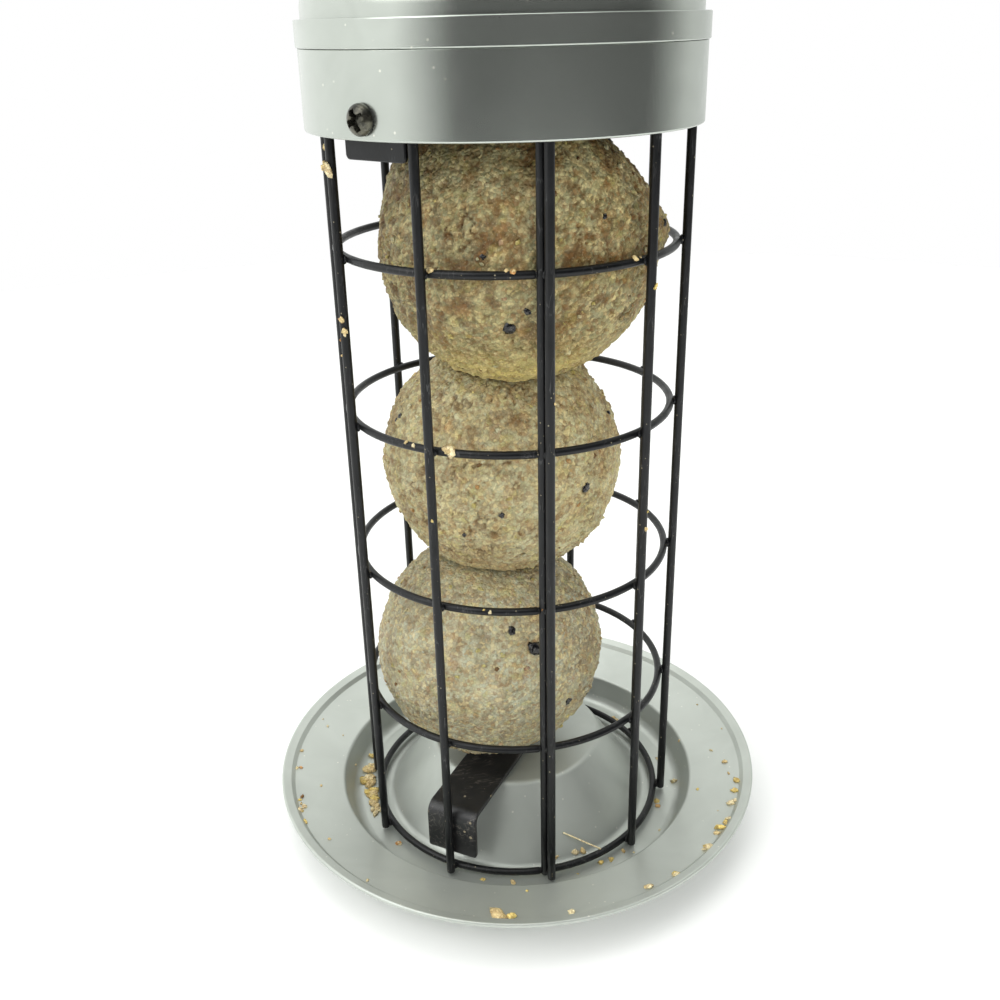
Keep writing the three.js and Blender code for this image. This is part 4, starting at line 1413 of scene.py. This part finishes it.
def tray_crumbs():
    """Fallen crumbs on the tray: those at given places, and a few small ones strewn between them, each at
    the height of the tray's upper face."""
    rng = np.random.default_rng(23)
    spots = repeated(TRAY_CRUMBS)
    spots[:, :2] += rng.normal(0, [1.5, 0.7], (len(spots), 2)) * (spots[:, 2:3] > 1)
    strewn = rng.uniform([-180, 45, 1, 0.25], [180, 71, 1, 0.6], (STREWN_CRUMBS, 4))
    azimuth, radius, _, sizes = np.vstack([spots, strewn]).T
    radius = np.clip(radius, 38, BRIM_END[0])
    incline = (tray_height(radius + 0.05) - tray_height(radius - 0.05)) / 0.1
    normals = unit(UP - outward(azimuth) * np.clip(incline, -3, 3)[:, None])
    places = point_at(azimuth, radius, tray_height(radius))
    return crumb_piece("tray_crumbs", places, normals, sizes * rng.uniform(0.75, 1.1, len(sizes)), rng)


fit(tray_crumbs(), "fat_and_seed")


def straw_splinter():
    """A splinter of straw on the bottom ring: a thin wire from a point above the boss's foot to the ring."""
    start = point_at(11, 36.5, 9.2)
    stop = point_at(23, 44.4, RING_HEIGHTS[0] + RING_WIRE / 2)
    side = unit(np.cross(stop - start, UP))
    points, faces = wire(np.linspace(start, stop, 9), side, 0.5)
    return make("straw_splinter", points, faces, MEAL, np.tile(OAT, (len(points), 1)))


fit(straw_splinter(), "fat_and_seed")

# Crumbs caught on the wires: ring or upright, azimuth or height along it, how many, half length
RING_CRUMBS = (
    (4, -34, 2, 0.9), (4, -10, 3, 0.7), (3, -30, 3, 1.3), (3, -32, 1, 2.3), (3, -45, 2, 0.6),
    (2, -20, 2, 0.5), (2, -2, 1, 0.6), (4, 33, 2, 0.6), (3, 150, 3, 0.8), (2, 200, 3, 0.8),
)
UPRIGHT_CRUMBS = (
    (8, 163, 4, 0.8), (8, 156, 2, 0.7), (8, 205, 5, 1.4), (1, 110, 2, 0.6), (1, 172, 2, 0.6),
    (0, 150, 1, 0.5), (9, 120, 1, 0.6), (5, 130, 3, 0.8),
)


def wire_crumbs():
    """Crumbs caught on rings and uprights, beside the places where the wires touch the balls."""
    rng = np.random.default_rng(31)
    rings = repeated(RING_CRUMBS)
    azimuth = rings[:, 1] + rng.normal(0, 1.2, len(rings))
    tilt = rng.uniform(0.3, 1.5, (len(rings), 1))
    ring_normals = outward(azimuth) * np.cos(tilt) + UP * np.sin(tilt)
    ring_places = outward(azimuth) * CAGE_RADIUS + ring_normals * RING_WIRE / 2
    ring_places[:, 2] += np.array(RING_HEIGHTS)[rings[:, 0].astype(int)]
    uprights = repeated(UPRIGHT_CRUMBS)
    level = np.array(UPRIGHT_AZIMUTHS)[uprights[:, 0].astype(int)]
    facing = level + rng.uniform(-70, 70, len(level))
    upright_places = outward(level) * UPRIGHT_RADIUS + outward(facing) * UPRIGHT_WIRE / 2
    upright_places[:, 2] += uprights[:, 1] + rng.normal(0, 2.5, len(level))
    places = np.vstack([ring_places, upright_places])
    normals = np.vstack([ring_normals, outward(facing)])
    sizes = np.append(rings[:, 3], uprights[:, 3]) * rng.uniform(0.6, 1.1, len(places))
    return crumb_piece("wire_crumbs", places, normals, sizes, rng)


fit(wire_crumbs(), "fat_and_seed")


# Floor, world and lights

FLOOR_RADII = (0.001, 200, 500, 900)
FLOOR_LEVEL = -0.05
WINDOW_AZIMUTH = -95
WINDOW_SIDE = (1.3, 1.32, 1.3, 1)
WEAK_SIDE = (0.8, 0.82, 0.8, 1)
DARK_AZIMUTH = 19
DARK_SIDE = (0.015, 0.015, 0.015, 1)


def pale_floor():
    """A wide pale floor, a disc of rings of points, just under the tray."""
    radius = np.array(FLOOR_RADII)[:, None]
    turn = whole_turn(FLOOR_STEPS)
    level = np.full((len(radius), FLOOR_STEPS), FLOOR_LEVEL)
    points = np.stack([radius * np.cos(turn), radius * np.sin(turn), level], axis=-1)
    material, tree, shader, place = material_with("pale_floor")
    colour = blend(tree, haze(tree, place, 6.0, 2.0), tint(240, 241, 240), tint(246, 246, 245))
    tree.links.new(colour, shader.inputs["Base Color"])
    shader.inputs["Roughness"].default_value = 0.75
    floor = make("floor", points.reshape(-1, 3), [quads(len(radius), FLOOR_STEPS)], material)
    floor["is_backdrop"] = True


def soft_light(name, place, aim, size, power, mirrored=True):
    """A square soft box at a place, turned to an aim; smooth pieces may mirror it or not."""
    lamp = bpy.data.lights.new(name, "AREA")
    lamp.shape = "RECTANGLE"
    lamp.size, lamp.size_y = size
    lamp.energy = power
    box = bpy.data.objects.new(name, lamp)
    box.visible_glossy = mirrored
    bpy.context.scene.collection.objects.link(box)
    back = unit(np.array(place, float) - np.array(aim, float))
    side = unit(np.cross(UP, back))
    turn = Matrix(np.stack([side, np.cross(back, side), back], axis=1).tolist()).to_4x4()
    box.matrix_world = Matrix.Translation([value * MM for value in place]) @ turn


def studio():
    """A white room: bright all round, with a darker side behind the camera that smooth pieces mirror."""
    world = bpy.data.worlds.new("studio")
    bpy.context.scene.world = world
    world.use_nodes = True
    tree = world.node_tree
    tree.nodes.clear()
    way = tree.nodes.new("ShaderNodeTexCoord").outputs["Generated"]

    def facing(azimuth):
        toward = {0: way, 1: tuple(outward(azimuth))}
        return add(tree, "ShaderNodeVectorMath", toward, operation="DOT_PRODUCT").outputs["Value"]

    bright = ramp(tree, facing(WINDOW_AZIMUTH), -0.6, 0.6, WEAK_SIDE, WINDOW_SIDE)
    height = add(tree, "ShaderNodeSeparateXYZ", {0: way}).outputs["Z"]
    low = spread(tree, height, 0.6, 0.97, 1.0, 0.0)
    shade = times(tree, spread(tree, facing(DARK_AZIMUTH), 0.02, 0.56, 0.0, 1.0), low)
    colour = blend(tree, shade, bright, DARK_SIDE)
    lit = add(tree, "ShaderNodeBackground", {"Color": colour, "Strength": 1.0})
    seen = add(tree, "ShaderNodeBackground", {"Color": (1, 1, 1, 1), "Strength": 1.0})
    camera_ray = tree.nodes.new("ShaderNodeLightPath").outputs["Is Camera Ray"]
    mixed = add(tree, "ShaderNodeMixShader", {0: camera_ray, 1: lit.outputs[0], 2: seen.outputs[0]})
    out = tree.nodes.new("ShaderNodeOutputWorld")
    tree.links.new(mixed.outputs[0], out.inputs["Surface"])


pale_floor()
studio()
soft_light("key", (-900, -420, 900), (0, 0, 120), (0.9, 0.9), 6)
soft_light("top", (0, 250, 1300), (0, 0, 100), (1.2, 1.2), 6)
soft_light("fill", (350, -1000, 420), (0, 0, 110), (1.2, 1.2), 13, mirrored=False)
bpy.context.scene.view_settings.view_transform = "Standard"

sizes = [[list(map(float, corner)) for corner in box] for box in (cad_box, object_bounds())]
